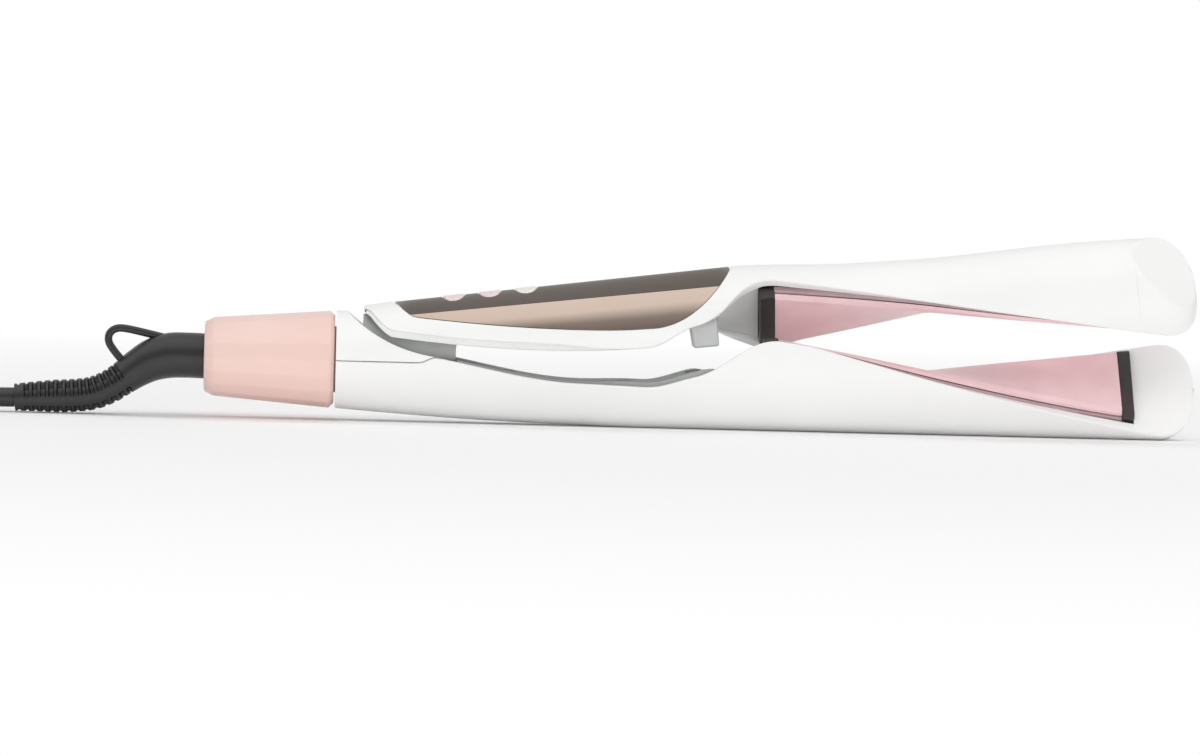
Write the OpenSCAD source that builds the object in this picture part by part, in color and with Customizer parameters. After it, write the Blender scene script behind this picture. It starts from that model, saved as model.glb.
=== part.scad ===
// Hair straightener and curler with two hinged arms and twisted plates.
// Lies on the flat strip under its lower arm; X runs to the tips, Z is up, and the origin is the
// middle of that strip. The upper arm is drawn closed and then opened about the hinge pin.

/* [Arms] */
// Height of the collar and rear housing axis above the rest strip
axis_z = 18.6; // [17.5:0.1:19.5]
// Where the housing starts, in front of the collar
rear_x = -173.4; // [-176:0.1:-171]
// Where the twisted jaws start
jaw_x = -41.9; // [-44:0.1:-40]
// Where the rounded tips start and the jaw channels end
tip_x0 = 73.2; // [72:0.1:76]
// Outer end of both tips
tip_x1 = 94.2; // [90:0.1:98]
// Half the width of the housing at the collar
half_w_rear = 15.1; // [14.8:0.1:15.4]
// Half the width of the handle
half_w_mid = 16.7; // [16:0.1:17.5]
// Half the width of the jaws at the tips
half_w_tip = 14.8; // [14.4:0.1:15.5]
// Wall of the handle shells
handle_wall = 2.2; // [1.8:0.1:2.5]
// Wall of the jaw shells
jaw_wall = 2.8; // [2.4:0.1:3]

/* [Plates] */
// Twist of the plates, degrees for each millimetre of length
twist_rate = 0.815; // [0.6:0.005:0.85]
// Where the plates are level
twist_zero_x = 13; // [8:1:18]
// Half the width of a plate
plate_half_w = 12.6; // [11.5:0.1:13]
// Thickness of a plate's face
plate_t = 2.4; // [1.8:0.1:2.6]
// Gap left between a plate and the closing plane
plate_gap = 0.2; // [0.15:0.01:0.3]
// How far the plates stand proud of the white rims
rim_drop = 3.2; // [2.8:0.1:3.4]

/* [Hinge] */
// Hinge pin, along the tool
pivot_x = -141; // [-143:0.5:-139]
// Hinge pin, above the rest strip
pivot_z = 24.3; // [23.5:0.1:25]
// Angle between the arms when they are fully open
open_angle = 6.7; // [5.5:0.1:7]
// Fall of the closing plane towards the tips
line_pitch = 1.7; // [1.2:0.1:2]
// Diameter of the hinge pin
pin_d = 4; // [3:0.1:5]

/* [Collar] */
// Length of the lock collar
collar_len = 40.0; // [38:0.1:42]
// Diameter of the collar at the cord
collar_d_rear = 24; // [23.5:0.1:25]
// Diameter of the collar at the housing
collar_d_front = 30.2; // [29:0.1:31]
// Turn of the collar from open to locked
lock_turn = 35; // [25:1:35]
// Travel of the lock bolt
bolt_travel = 4.3; // [3.5:0.1:4.3]

/* [Controls] */
// Middle of the first button, along the tool
button_x = -135.8; // [-138:0.1:-135]
// Distance between the buttons
button_pitch = 11.25; // [10:0.25:12]
// Length of a button along the tool
button_d = 6.8; // [6:0.1:7.2]
// Width of a button across the tool
button_w = 9.8; // [9:0.1:13]
// Thickness of the bronze panel
panel_t = 0.8; // [0.6:0.1:1]

/* [Cord] */
// Diameter of the cord
cord_d = 6; // [5.6:0.1:6.4]
// Radius of the hank's folds
hank_bend = 18.5; // [18:0.1:19]
// Length of a plug pin
plug_pin_len = 19; // [18:0.5:19]

/* [Hidden] */

$fn = 48;
arc_steps = 18;       // facets round a shell
ring_step = 5;        // distance between a shell's rings
fit = 0.04;           // running clearance on a radius
gap = 0.3;            // clearance between a shell and what moves in it
tiny = 0.01;

rest_x = 79;          // half the length of the flat rest strip
strip_depth = 0.35;   // how far the round underside is cut back to make the strip
lift_rear = 3.5;      // height of the underside at the collar
seam_z = 18.7;        // side seam of the rear housing
upper_x0 = -163.6;    // rear end of the upper arm, closed
neck_x0 = -63;        // where the arms start to twist into the jaws
neck_x1 = -36;        // where the twist reaches its full rate
nose_x = 81;          // where the tips start to round off
nose_power = 2.4;
collar_x1 = rear_x - 0.5;
collar_x0 = collar_x1 - collar_len;

white = "#f4f4f3";
grey = "#a9adab";
rose = "#e3c0c5";
blush = "#f0d3cc";
black = "#332e2c";
rubber = "#4b4b4b";
bronze = "#b79d87";
steel = "#b9bcc0";
board_green = "#2f6b4a";
cream = "#ede7e0";

// Basic curves
function ramp(x, a, b) = let (t = max(0, min(1, (x - a) / (b - a)))) t * t * (3 - 2 * t);
function mix(a, b, t) = a + (b - a) * t;
function flip(v) = [for (i = [len(v) - 1:-1:0]) v[i]];
function stations(a, b, step) = let (n = max(1, ceil((b - a) / step)))
    [for (i = [0:n]) mix(a, b, i / n)];

// The closed arms share one outline: an egg round the closing plane, cut along that plane
function line_z(x) = pivot_z - tan(line_pitch) * (x - pivot_x);
function centre_z(x) = mix(axis_z, line_z(x), ramp(x, rear_x, -120));
function twist(x) = twist_rate * (twist_zero_x - x) * ramp(x, neck_x0, neck_x1);
function nose(x) = x <= nose_x ? 1
    : pow(1 - pow((x - nose_x) / (tip_x1 - nose_x), nose_power), 1 / nose_power);
function half_w(x) = nose(x) * (half_w_rear + (half_w_mid - half_w_rear) * ramp(x, rear_x, -90)
    - (half_w_mid - half_w_tip) * ramp(x, -40, 80));
function under_z(x) = lift_rear * pow(max(0, -rest_x - x) / (-rest_x - rear_x), 2);
function depth_low(x) = nose(x) * (centre_z(x) - under_z(x) + strip_depth * ramp(x, -100, -80));
function depth_top(x) = nose(x) * (13.2 + 0.7 * ramp(x, -166, -152)
    + 4.5 * max(0, min(1, (x + 152) / 104)) - 1.4 * ramp(x, -48, -10) + 2.2 * ramp(x, 4, 65));
function wall(x) = mix(handle_wall, jaw_wall, ramp(x, -60, jaw_x));

// Drop of the lower rim and rise of the upper rim from the closing plane
function drop_low(x) = 2.8 + 6.6 * ramp(x, -158, -100) - 4.7 * ramp(x, -78, -58)
    - (4.7 - rim_drop) * ramp(x, -42, -24);
function rim_low(x) = centre_z(x) - mix(seam_z, line_z(x) - drop_low(x), ramp(x, -150, -141.6));
function rim_top(x) = min(depth_top(x) - wall(x) - 0.4, 7.4 * pow(max(0, -84 - x) / 68, 1.8)
    + 8 * pow(max(0, -156 - x) / 8, 1.5) - 4.8 + 6 * ramp(x, -78, -61) + (rim_drop - 1.2) * ramp(x, -56, -44));

// Angle at which a line turned by tw and raised by g crosses an egg; side is 1 far, -1 near
function cross_t(w, d, tw, g, side) =
    let (a = norm([w * sin(tw), d * cos(tw)]), lag = atan2(w * sin(tw), d * cos(tw)))
    let (q = asin(max(-1, min(1, g / a)))) side > 0 ? q - lag : 180 - q - lag;
function cut_t(w, top, low, tw, g, side) = let (t = cross_t(w, top, tw, g, side))
    sin(t) >= 0 ? t : cross_t(w, low, tw, g, side);
function egg(w, top, low, t0, t1, n) = [for (i = [0:n]) let (t = mix(t0, t1, i / n))
    [w * cos(t), (sin(t) > 0 ? top : low) * sin(t)]];
function low_arc(x, off, g, n) =
    let (w = half_w(x) - off, top = depth_top(x) - off, low = depth_low(x) - off, tw = twist(x))
    egg(w, top, low, cut_t(w, top, low, tw, -g, -1), cut_t(w, top, low, tw, -g, 1) + 360, n);
function top_arc(x, off, g, n) =
    let (w = half_w(x) - off, top = depth_top(x) - off, low = depth_low(x) - off, tw = twist(x))
    egg(w, top, low, cut_t(w, top, low, tw, g, 1), cut_t(w, top, low, tw, g, -1), n);
function place(x, z0, pts) = [for (p = pts) [x, p.x, z0 + p.y]];

// Rings of the two arms' shells, and of bars that follow the twisted plates
function low_shell(x, out, inn, g) = place(x, centre_z(x),
    concat(low_arc(x, out, g, arc_steps), flip(low_arc(x, inn, g, arc_steps))));
function top_shell(x, out, inn, g) = place(x, line_z(x),
    concat(top_arc(x, out, g, arc_steps), flip(top_arc(x, inn, g, arc_steps))));
function low_slab(x, off, g0, g1) =
    let (a = low_arc(x, off, g0, 1), b = low_arc(x, off, g1, 1))
    place(x, centre_z(x), [a[0], b[0], b[1], a[1]]);
function top_slab(x, off, g0, g1) =
    let (a = top_arc(x, off, g0, 1), b = top_arc(x, off, g1, 1))
    place(x, line_z(x), [a[0], b[0], b[1], a[1]]);
function bar_ring(x, pts, side) = let (c = cos(twist(x)), s = sin(twist(x)))
    place(x, line_z(x), [for (p = side < 0 ? pts : flip(pts))
        [p.x * c - side * p.y * s, -side * p.y * c - p.x * s]]);

// Solid through a list of rings, each wound the same way. Point i of an end faces point n-1-i
// across it, as on a shell's two arcs, unless the end is one flat outline.
module loft(rings, outline = false) {
    n = len(rings[0]);
    last = (len(rings) - 1) * n;
    sides = [for (k = [0:len(rings) - 2]) for (i = [0:n - 1])
        let (a = k * n + i, b = k * n + (i + 1) % n) each [[a, a + n, b + n], [a, b + n, b]]];
    ends = outline ? [[for (i = [0:n - 1]) i], [for (i = [n - 1:-1:0]) last + i]]
        : [for (i = [0:n / 2 - 2]) each [[i, i + 1, n - 1 - i], [i + 1, n - 2 - i, n - 1 - i],
            [last + n - 1 - i, last + i + 1, last + i], [last + n - 1 - i, last + n - 2 - i, last + i + 1]]];
    polyhedron(points = [for (r = rings) each r], faces = concat(ends, sides));
}

// Opens the upper arm about the hinge pin
module opened() {
    translate([pivot_x, 0, pivot_z])
        rotate([0, -open_angle, 0])
            translate([-pivot_x, 0, -pivot_z]) children();
}

module box(lo, hi) {
    translate(lo) cube(hi - lo);
}

module rod_x(x0, x1, r, z = 0, y = 0) {
    translate([x0, y, z]) rotate([0, 90, 0]) cylinder(r = r, h = x1 - x0);
}

module rod_y(half, r) {
    rotate([90, 0, 0]) cylinder(r = r, h = 2 * half, center = true);
}

// Screw standing on its tip, head up
module screw(x, y, z_head, shank, head_r = 2.6, shank_r = 1.25) {
    translate([x, y, z_head]) {
        difference() {
            cylinder(r = head_r, h = 1.6);
            for (turn = [0, 90]) rotate(turn) translate([-1.5, -0.3, 0.9]) cube([3, 0.6, 1]);
        }
        translate([0, 0, -shank]) cylinder(r = shank_r, h = shank + tiny);
    }
}

// Lower arm -----------------------------------------------------------------

bracket_z = 12.5;
bracket_t = 1.5;
bracket_x0 = -153;
bracket_x1 = -125;
bracket_screw_x = [-149.5, -134.8];
cover_screw_x = [-119, -84];
boss_r = 2.9;
pilot_r = 1.3;
cover_x0 = -136.3;
cover_x1 = -50;
cover_t = 3.2;
spring_x = -160;
spring_r = 2.5;
tab_x = -59.7;
tab_drop = 6.1;       // how far the closing tab reaches below the closing plane
tab_len = 9;
tab_half_w = 5;

// How far the grey inner cover stands above the white edge; it dives under it at the neck
function cover_rise(x) = 0.5 + 0.8 * ramp(x, -100, -80) - 2.1 * ramp(x, -60, -54);
function cover_top(x) = centre_z(x) - rim_low(x) + cover_rise(x);

module lower_casing() {
    color(white) {
        difference() {
            loft([for (x = stations(rear_x, tip_x0, ring_step)) low_shell(x, 0, wall(x), rim_low(x))]);
            box([-rest_x - 20, -12, -2], [tip_x1, 12, 0]);
        }
    }
}

// Threaded post between two heights, open at the end that takes the screw
module post(x, z0, z1, r, from_top = true) {
    translate([x, 0, z0]) difference() {
        cylinder(r = r, h = z1 - z0);
        translate([0, 0, from_top ? 2 : -1]) cylinder(r = pilot_r, h = z1 - z0 + (from_top ? -1 : 0.4));
    }
}

function floor_z(x) = centre_z(x) - depth_low(x) + wall(x);

module lower_posts() {
    color(white) {
        for (x = bracket_screw_x) post(x, floor_z(x) + 0.4, bracket_z - 0.02, boss_r);
        for (x = cover_screw_x) post(x, floor_z(x) + 0.4, cover_top(x) - cover_t - 0.35, boss_r);
    }
}

cover_cut_r = 46;     // hollow curve of the rear cover's front edge

module rear_cover() {
    cover_x = -141.6;
    color(white) {
        difference() {
            loft([for (x = stations(rear_x, cover_x, 3)) let (s = 0.15 - rim_low(x))
                place(x, centre_z(x), concat(
                    egg(half_w(x), half_w_rear, depth_low(x), asin(s / depth_low(x)),
                        180 - asin(s / depth_low(x)), arc_steps),
                    flip(egg(half_w(x) - handle_wall, half_w_rear - handle_wall, depth_low(x) - handle_wall,
                        asin(s / (depth_low(x) - handle_wall)),
                        180 - asin(s / (depth_low(x) - handle_wall)), arc_steps))))]);
            translate([-137.4, 0, 20.4 + cover_cut_r]) rod_y(20, cover_cut_r);
        }
    }
}

// Liner over the hinge; it clears the upper shell's roof when the arms are open
liner_x0 = -165.2;
liner_x1 = -136.6;
liner_side = 3.9;     // how far its sides stand in from the housing's
liner_t = 1.5;
liner_cut_x = -152;
liner_cut_z = 28.4;
liner_cut_r = 5;

function liner_top(x) = line_z(x) + depth_top(x) - skin(x) - handle_wall - gap
    - max(0, pivot_x - x) * sin(open_angle) - centre_z(x);

module hinge_cover() {
    low = 9;
    color(grey) {
        difference() {
            loft([for (x = stations(liner_x0, liner_x1, 3)) place(x, centre_z(x), concat(
                egg(half_w(x) - liner_side, liner_top(x), low, -24, 204, arc_steps),
                flip(egg(half_w(x) - liner_side - liner_t, liner_top(x) - liner_t, low - liner_t, -24, 204,
                    arc_steps))))]);
            box([liner_cut_x, -20, liner_cut_z], [liner_x1 + 1, 20, 40]);
            translate([liner_cut_x, 0, liner_cut_z + liner_cut_r]) rod_y(20, liner_cut_r);
        }
    }
}

module lower_inner_cover() {
    color(grey) {
        difference() {
            loft([for (x = stations(cover_x0, cover_x1, ring_step))
                low_slab(x, wall(x) + 0.15, rim_low(x) - cover_rise(x), rim_low(x) - cover_rise(x) + cover_t)]);
            box([tab_x - tab_len / 2 - 0.9, -tab_half_w - 0.8, 5], [tab_x + tab_len / 2 + 0.9, tab_half_w + 0.8, 30]);
            for (x = cover_screw_x) {
                translate([x, 0, 5]) cylinder(r = 1.6, h = 20);
                translate([x, 0, cover_top(x) - 2]) cylinder(r = 2.9, h = 20);
            }
        }
    }
}

module solid_tip(side) {
    xs = concat(stations(tip_x0 + 0.1, nose_x, 4), [for (u = [0.25, 0.45, 0.62, 0.76, 0.87, 0.95, 0.99])
        mix(nose_x, tip_x1, u)]);
    loft([for (x = xs) place(x, line_z(x), side < 0 ? low_arc(x, 0, rim_drop, arc_steps + 5)
        : top_arc(x, 0, rim_drop, arc_steps + 5))]);
}

module lower_tip() {
    color(white) {
        difference() {
            solid_tip(-1);
            box([tip_x0 - 1, -12, -2], [tip_x1, 12, 0]);
        }
    }
}

// Jaw parts, drawn as bars that follow the twist; side is -1 lower, 1 upper
plate_x0 = jaw_x + 4.7;
plate_x1 = tip_x0 - 3.7;
rail_out = 9;
rail_in = 7.5;
rail_d = plate_gap + plate_t + 2.4;
carrier_d = 8;

module bar(x0, x1, pts, side) {
    loft([for (x = stations(x0, x1, 4)) bar_ring(x, pts, side)], outline = true);
}

module plate(side) {
    face_d = plate_gap + plate_t;
    bar(plate_x0, plate_x1, [[-plate_half_w, -face_d], [-rail_out, -face_d], [-rail_out, -rail_d],
        [-rail_in, -rail_d], [-rail_in, -face_d], [rail_in, -face_d], [rail_in, -rail_d],
        [rail_out, -rail_d], [rail_out, -face_d], [plate_half_w, -face_d],
        [plate_half_w, -plate_gap], [-plate_half_w, -plate_gap]], side);
}

module heater(side) {
    top = plate_gap + plate_t + 0.05;
    bar(plate_x0 + 4, plate_x1 - 4, [[-6, 0.05 - rail_d], [6, 0.05 - rail_d], [6, -top], [-6, -top]], side);
}

module carrier(side) {
    top = rail_d + 0.05;
    bar(plate_x0, plate_x1, [[-rail_out, -carrier_d], [rail_out, -carrier_d], [rail_out, -top],
        [-rail_out, -top]], side);
}

module end_piece(x0, x1, side) {
    half = [[8.4, -carrier_d], [10.4, -rim_drop - 0.25], [plate_half_w, 0.1 - rim_drop], [plate_half_w, -plate_gap]];
    pts = concat(half, [for (p = flip(half)) [-p.x, p.y]]);
    loft([for (x = stations(x0, x1, 2)) bar_ring(x, pts, side)]);
}

module cushions(side) {
    for (x = [plate_x0 + 12, (plate_x0 + plate_x1) / 2, plate_x1 - 12]) {
        w = half_w(x) - jaw_wall;
        d = (side < 0 ? depth_low(x) : depth_top(x)) - jaw_wall;
        reach = 1 / norm([sin(twist(x)) / w, cos(twist(x)) / d]) - 1.2;
        translate([x, 0, line_z(x)]) rotate([-twist(x), 0, 0]) scale([1, 1, side])
            translate([0, 0, carrier_d + 0.15]) cylinder(r = 3, h = reach - carrier_d - 0.15);
    }
}

module lower_plate() {
    color(rose) plate(-1);
}

module lower_heater() {
    color(cream) heater(-1);
}

module lower_plate_carrier() {
    color(black) carrier(-1);
}

module lower_plate_end_rear() {
    color(black) end_piece(jaw_x, plate_x0 - 0.1, -1);
}

module lower_plate_end_front() {
    color(black) end_piece(plate_x1 + 0.1, tip_x0, -1);
}

module lower_plate_cushions() {
    color(grey) cushions(-1);
}

// Hinge ----------------------------------------------------------------------

ear_in = 6.2;
ear_out = 8.8;
ear_t = ear_out - ear_in;
knuckle_r = 4.2;

module hinge_bracket() {
    color(steel) {
        difference() {
            union() {
                box([bracket_x0, -ear_out, bracket_z], [bracket_x1, ear_out, bracket_z + bracket_t]);
                for (side = [-1, 1]) {
                    y0 = side < 0 ? -ear_out : ear_in;
                    box([pivot_x - 7, y0, bracket_z], [cover_x0 - 0.3, y0 + ear_t, pivot_z - 1.5]);
                    translate([pivot_x, y0 + ear_t, pivot_z]) rotate([90, 0, 0]) cylinder(r = 4.6, h = ear_t);
                }
            }
            translate([pivot_x, 0, pivot_z]) rod_y(20, pin_d / 2);
            for (x = bracket_screw_x) translate([x, 0, 10]) cylinder(r = 1.6, h = 10);
        }
    }
}

module hinge_pin() {
    color(steel) translate([pivot_x, 0, pivot_z]) rod_y(ear_out, pin_d / 2);
}

module bracket_screws() {
    color(steel) for (x = bracket_screw_x) screw(x, 0, bracket_z + bracket_t, 7);
}

// The spring stands on the lever's tail and pushes up against the liner's roof
spring_seat = 0.2;
spring_z0 = pivot_z + (spring_x + spring_r - pivot_x) * sin(open_angle) + spring_seat;
spring_back = spring_x - spring_r;
spring_z1 = centre_z(spring_back) - spring_seat + (liner_top(spring_back) - liner_t)
    * sqrt(1 - pow(spring_r / (half_w(spring_back) - liner_side - liner_t), 2));
arm_z = pivot_z + 1.7;                 // underside of the upper arm's hinge lever, closed
spring_turns = 5;
spring_wire = 0.9;

module opening_spring() {
    steps = 14;
    sides = 8;
    mid = spring_r - spring_wire / 2;
    rise = spring_z1 - spring_z0 - spring_wire;
    color(steel)
        loft([for (k = [0:steps * spring_turns]) let (turn = 360 * k / steps)
            [for (i = [0:sides - 1]) let (a = 360 * i / sides, r = mid + spring_wire / 2 * cos(a))
                [spring_x + r * cos(turn), r * sin(turn), spring_z0 + spring_wire / 2
                    + rise * k / (steps * spring_turns) + spring_wire / 2 * sin(a)]]]);
}

module power_board() {
    color(board_green) {
        box([-113, -7, 6.4], [-89, 7, 8]);
        for (x = [-110, -92]) translate([x, 0, 2.95]) cylinder(r = 1.6, h = 3.45);
    }
    color(black) box([-106, -5, 8], [-96, 5, 10.2]);
}

module cord_terminal() {
    color(cream) {
        difference() {
            box([-166, -6, 7], [-156, 6, 12.8]);
            for (y = [-3, 3]) rod_x(-167, -155, 1.5, 9.9, y);
            for (y = [-3, 3]) translate([-161, y, 11.4]) cylinder(r = 1.2, h = 3);
        }
    }
}

module cover_screws() {
    color(steel) for (x = cover_screw_x) screw(x, 0, cover_top(x) - 1.98, 7);
}

// Collar, lock and swivel -----------------------------------------------------

bush_r = 10.2;
bush_x0 = collar_x0 + 0.6;
bush_x1 = -167;
swivel_r = 7.5;
swivel_x1 = -198;
swivel_step = 8.4;
follower_x = -184.6;
follower_r = 1.5;
follower_top = 11.2;
bolt_z = pivot_z - 2.05;
bolt_t = 1;
bolt_tip_x = -166.1;
flange_r = 12.4;
collar_flats = 18;

module collar_bush() {
    slot_x0 = follower_x - follower_r - 0.3;
    slot_x1 = follower_x + bolt_travel + follower_r + 0.3;
    color(cream) {
        difference() {
            union() {
                rod_x(bush_x0, bush_x1, bush_r, axis_z);
                rod_x(rear_x + 0.3, rear_x + 3.3, flange_r, axis_z);
            }
            rod_x(bush_x0 - 1, bush_x1 + 1, swivel_r + fit, axis_z);
            rod_x(swivel_x1 - 2.6, bush_x1 + 1, swivel_step + fit, axis_z);
            box([slot_x0, -follower_r - 0.15, axis_z], [slot_x1, follower_r + 0.15, axis_z + 12]);
        }
        intersection() {
            box([-181, -9, bolt_z - 2], [bush_x1, 9, bolt_z - 0.05]);
            rod_x(-182, -166, swivel_step + 0.5, axis_z);
        }
    }
}

module lock_collar() {
    r0 = collar_d_rear / 2;
    r1 = collar_d_front / 2;
    chamfer = 2.6;
    color(blush) {
        difference() {
            translate([collar_x0, 0, axis_z]) rotate([0, 90, 0])
                rotate_extrude($fn = collar_flats) polygon([[0, 0], [r0 - 1.4, 0], [r0, 2.4],
                    [r1, collar_len - chamfer], [r1 - 1.5, collar_len], [0, collar_len]]);
            rod_x(collar_x0 - 1, collar_x1 + 1, bush_r + fit, axis_z);
            for (k = [0:7]) {
                turn = lock_turn * k / 7;
                translate([follower_x + bolt_travel * k / 7, 0, axis_z]) rotate([turn, 0, 0])
                    translate([0, 0, 8]) cylinder(r = follower_r + 0.15, h = follower_top + 0.5 - 8);
            }
        }
    }
}

module lock_bolt() {
    color(steel) {
        box([follower_x - 3, -2.5, bolt_z], [bolt_tip_x, 2.5, bolt_z + bolt_t]);
        translate([follower_x, 0, bolt_z + bolt_t - tiny])
            cylinder(r = follower_r, h = axis_z + follower_top - bolt_z - bolt_t);
    }
}

module swivel_barrel() {
    color(black) {
        difference() {
            union() {
                rod_x(collar_x0, swivel_x1 - 2, swivel_r, axis_z);
                rod_x(swivel_x1 - 2.2, swivel_x1, swivel_step, axis_z);
            }
            rod_x(collar_x0 - 1, swivel_x1 + 1, cord_d / 2, axis_z);
        }
    }
}

// Upper arm, drawn closed ------------------------------------------------------

arm_t = 2;
lever_x1 = -91;
tail_x = -165.3;
tail_t = 0.9;
tail_z = bolt_z + bolt_t + 0.15;
board_z = 29.8;
board_t = 1.2;
board_x = [-146, -105];
boss_x = [-147.5, -103];
panel_x0 = -153.7;
panel_x1 = -50.3;
panel_seat = 0.25;    // room between the panel and the shell under it

function skin(x) = panel_t * ramp(x, -159, -154) * (1 - ramp(x, -45, -40));
function roof_z(x) = line_z(x) + depth_top(x);
function button_at(i) = button_x + i * button_pitch;
// Height of the panel's lower edge above the closing plane
function panel_h(x) = min(depth_top(x) - 0.4, 1.2 + 7.4 * pow(max(0, -82 - x) / 64, 1.5)
    + 4 * pow(max(0, -148 - x) / 6, 1.6) + 16.9 * pow(max(0, x + 76) / 26.3, 2));

// Oval prism across the tool, room wider all round than a button
module oval(room, h) {
    steps = 24;
    linear_extrude(h) polygon([for (i = [0:steps - 1]) let (a = 360 * i / steps)
        [(button_d / 2 + room) * cos(a), (button_w / 2 + room) * sin(a)]]);
}

module button_holes() {
    for (i = [0:2]) translate([button_at(i), 0, 30]) oval(0.3, 20);
}

module upper_casing() {
    color(white) opened() {
        difference() {
            loft([for (x = stations(upper_x0, tip_x0, ring_step))
                top_shell(x, skin(x), skin(x) + wall(x), rim_top(x))]);
            button_holes();
        }
    }
}

module upper_posts() {
    color(white) opened()
        for (x = boss_x) post(x, board_z + board_t, roof_z(x) - panel_t - handle_wall - 0.5, 2.4, false);
}

module upper_inner_cover() {
    x0 = -125.2;
    x1 = jaw_x - 0.1;
    color(grey) opened() {
        loft([for (x = stations(x0, x1, 4))
            top_slab(x, skin(x) + wall(x) + 0.12, rim_top(x) + 0.8, rim_top(x) + 2.4)]);
        box([tab_x - tab_len / 2, -tab_half_w, line_z(tab_x) - tab_drop],
            [tab_x + tab_len / 2, tab_half_w, line_z(tab_x) + 3.2]);
    }
}

// The end of the upper tip is cut off flat, leaning towards its back
facet_x = 76;
facet_reach = 15.8;
facet_tilt = 30;

module upper_tip() {
    color(white) opened() difference() {
        solid_tip(1);
        translate([facet_x, 0, line_z(facet_x)]) rotate([-twist(facet_x), 0, 0]) translate([0, 0, facet_reach])
            rotate([0, facet_tilt, 0]) translate([-30, -30, 0]) cube([70, 60, 30]);
    }
}

module control_panel() {
    color(bronze) opened() {
        difference() {
            loft([for (x = stations(panel_x0, panel_x1, 4.2))
                let (h = panel_h(x), top = depth_top(x), t0 = asin(h / top))
                place(x, line_z(x), concat(
                    egg(half_w(x), top, top, t0, 180 - t0, arc_steps),
                    flip(egg(half_w(x) + panel_seat - panel_t, top + panel_seat - panel_t, top, t0, 180 - t0,
                        arc_steps))))]);
            button_holes();
        }
    }
}

module control_board() {
    color(board_green) opened() {
        difference() {
            box([board_x[0] - 4, -6.5, board_z], [board_x[1] + 5, 6.5, board_z + board_t]);
            for (x = boss_x) translate([x, 0, board_z - 1]) cylinder(r = 1.6, h = 4);
        }
        for (i = [0:2]) translate([button_at(i), 0, board_z + board_t - tiny]) cylinder(r = 1.6, h = 0.6);
    }
}

module board_screws() {
    color(steel) opened() for (x = boss_x) translate([x, 0, board_z]) rotate([180, 0, 0]) screw(0, 0, 0, 3.4);
}

module upper_hinge_arm() {
    color(steel) opened() {
        difference() {
            union() {
                translate([pivot_x, 0, pivot_z]) rod_y(ear_in - 0.2, knuckle_r);
                box([pivot_x, -5, arm_z], [lever_x1, 5, arm_z + arm_t]);
                box([-99, -4.5, arm_z + arm_t - tiny], [lever_x1, 4.5, 35.2]);
                box([tail_x, -2.6, tail_z], [pivot_x, 2.6, tail_z + tail_t]);
            }
            translate([pivot_x, 0, pivot_z]) rod_y(20, pin_d / 2 + fit);
        }
    }
}

module upper_plate() {
    color(rose) opened() plate(1);
}

module upper_heater() {
    color(cream) opened() heater(1);
}

module upper_plate_carrier() {
    color(black) opened() carrier(1);
}

module upper_plate_end_rear() {
    color(black) opened() end_piece(jaw_x, plate_x0 - 0.1, 1);
}

module upper_plate_end_front() {
    color(black) opened() end_piece(plate_x1 + 0.1, tip_x0, 1);
}

module upper_plate_cushions() {
    color(grey) opened() cushions(1);
}

module thermal_fuse() {
    color(cream) opened() translate([0, 0, line_z(0) + carrier_d + 1.5]) rod_x(-2, 8, 1.2);
}

// Buttons: a cap, and a flange that keeps it under the casing
module button(i, tint) {
    x = button_at(i);
    top = roof_z(x) + 0.2;
    flange_top = roof_z(x) - panel_t - handle_wall - 2.1;
    color(tint) opened() translate([x, 0, 0]) {
        translate([0, 0, flange_top - tiny]) oval(0, top - flange_top);
        translate([0, 0, flange_top - 0.9]) oval(0.8, 0.9);
    }
}

module power_button() {
    button(0, rose);
}

module plus_button() {
    button(1, rose);
}

module minus_button() {
    button(2, cream);
}

// Cord: strain relief, lead, coil, tie and plug -----------------------------------

relief_path = [[-214, 18.6], [-219, 18.7], [-224.5, 18.5], [-229.5, 17.1], [-234, 14.6], [-238.5, 11.4],
    [-243, 8.4], [-248, 6.3], [-254, 5.4], [-260, 5.1], [-266, 4.8], [-272, 4.4]];
relief_r = [7, 7, 7, 6.6, 5.9, 5.3, 5.2, 5.15, 5.1, 5, 4.6, 4.2];
lead_x0 = -272.1;     // where the cord leaves the strain relief
lead_z0 = 4.4;
hank_x = -324;        // middle of the hank's near end
hank_run = 92;        // length of its straight runs
hank_laps = 5;
lap_rise = 6.15;      // one lap lies on the one below
hank_top = hank_laps * lap_rise + cord_d;
plug_x0 = -381;
plug_y = -2.5;
plug_z = hank_top + 6.8;
plug_len = 34;
plug_half_h = 6.8;
tie_x = -345;
plug_pin_d = 4;
plug_pin_pitch = 18.6;
pin_root_r = 1.7;
loop_r = 1.2;
loop_path = [[-223, 23.2], [-231, 25], [-238, 26.4], [-241.2, 26.4], [-243.2, 25], [-243.6, 22.8],
    [-242.6, 20.6], [-239.6, 17], [-235.5, 13.6]];

// Unit direction of a path at point i
function path_dir(p, i) = let (a = p[max(0, i - 1)], b = p[min(len(p) - 1, i + 1)]) (b - a) / norm(b - a);
// Ring square to the path, which keeps to the XZ plane or never runs straight up
function tube_ring(p, i, r, n, flat) = let (d = path_dir(p, i), level = cross([0, 0, 1], d))
    let (side = flat ? [0, 1, 0] : level / norm(level), up = cross(d, side))
    [for (k = [0:n - 1]) let (a = 360 * k / n) p[i] + r * (cos(a) * side + sin(a) * up)];

module tube(p, r, n, flat = false) {
    rr = is_list(r) ? r : [for (q = p) r];
    loft([for (i = [0:len(p) - 1]) flip(tube_ring(p, i, rr[i], n, flat))]);
}

module strain_relief() {
    color(rubber) tube([for (q = relief_path) [q.x, 0, q.y]], relief_r, 20, flat = true);
}

// Moulded to the strain relief, so both its feet run into it
module hanging_loop() {
    color(rubber) tube([for (q = loop_path) [q.x, 0, q.y]], loop_r, 12, flat = true);
}

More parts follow.
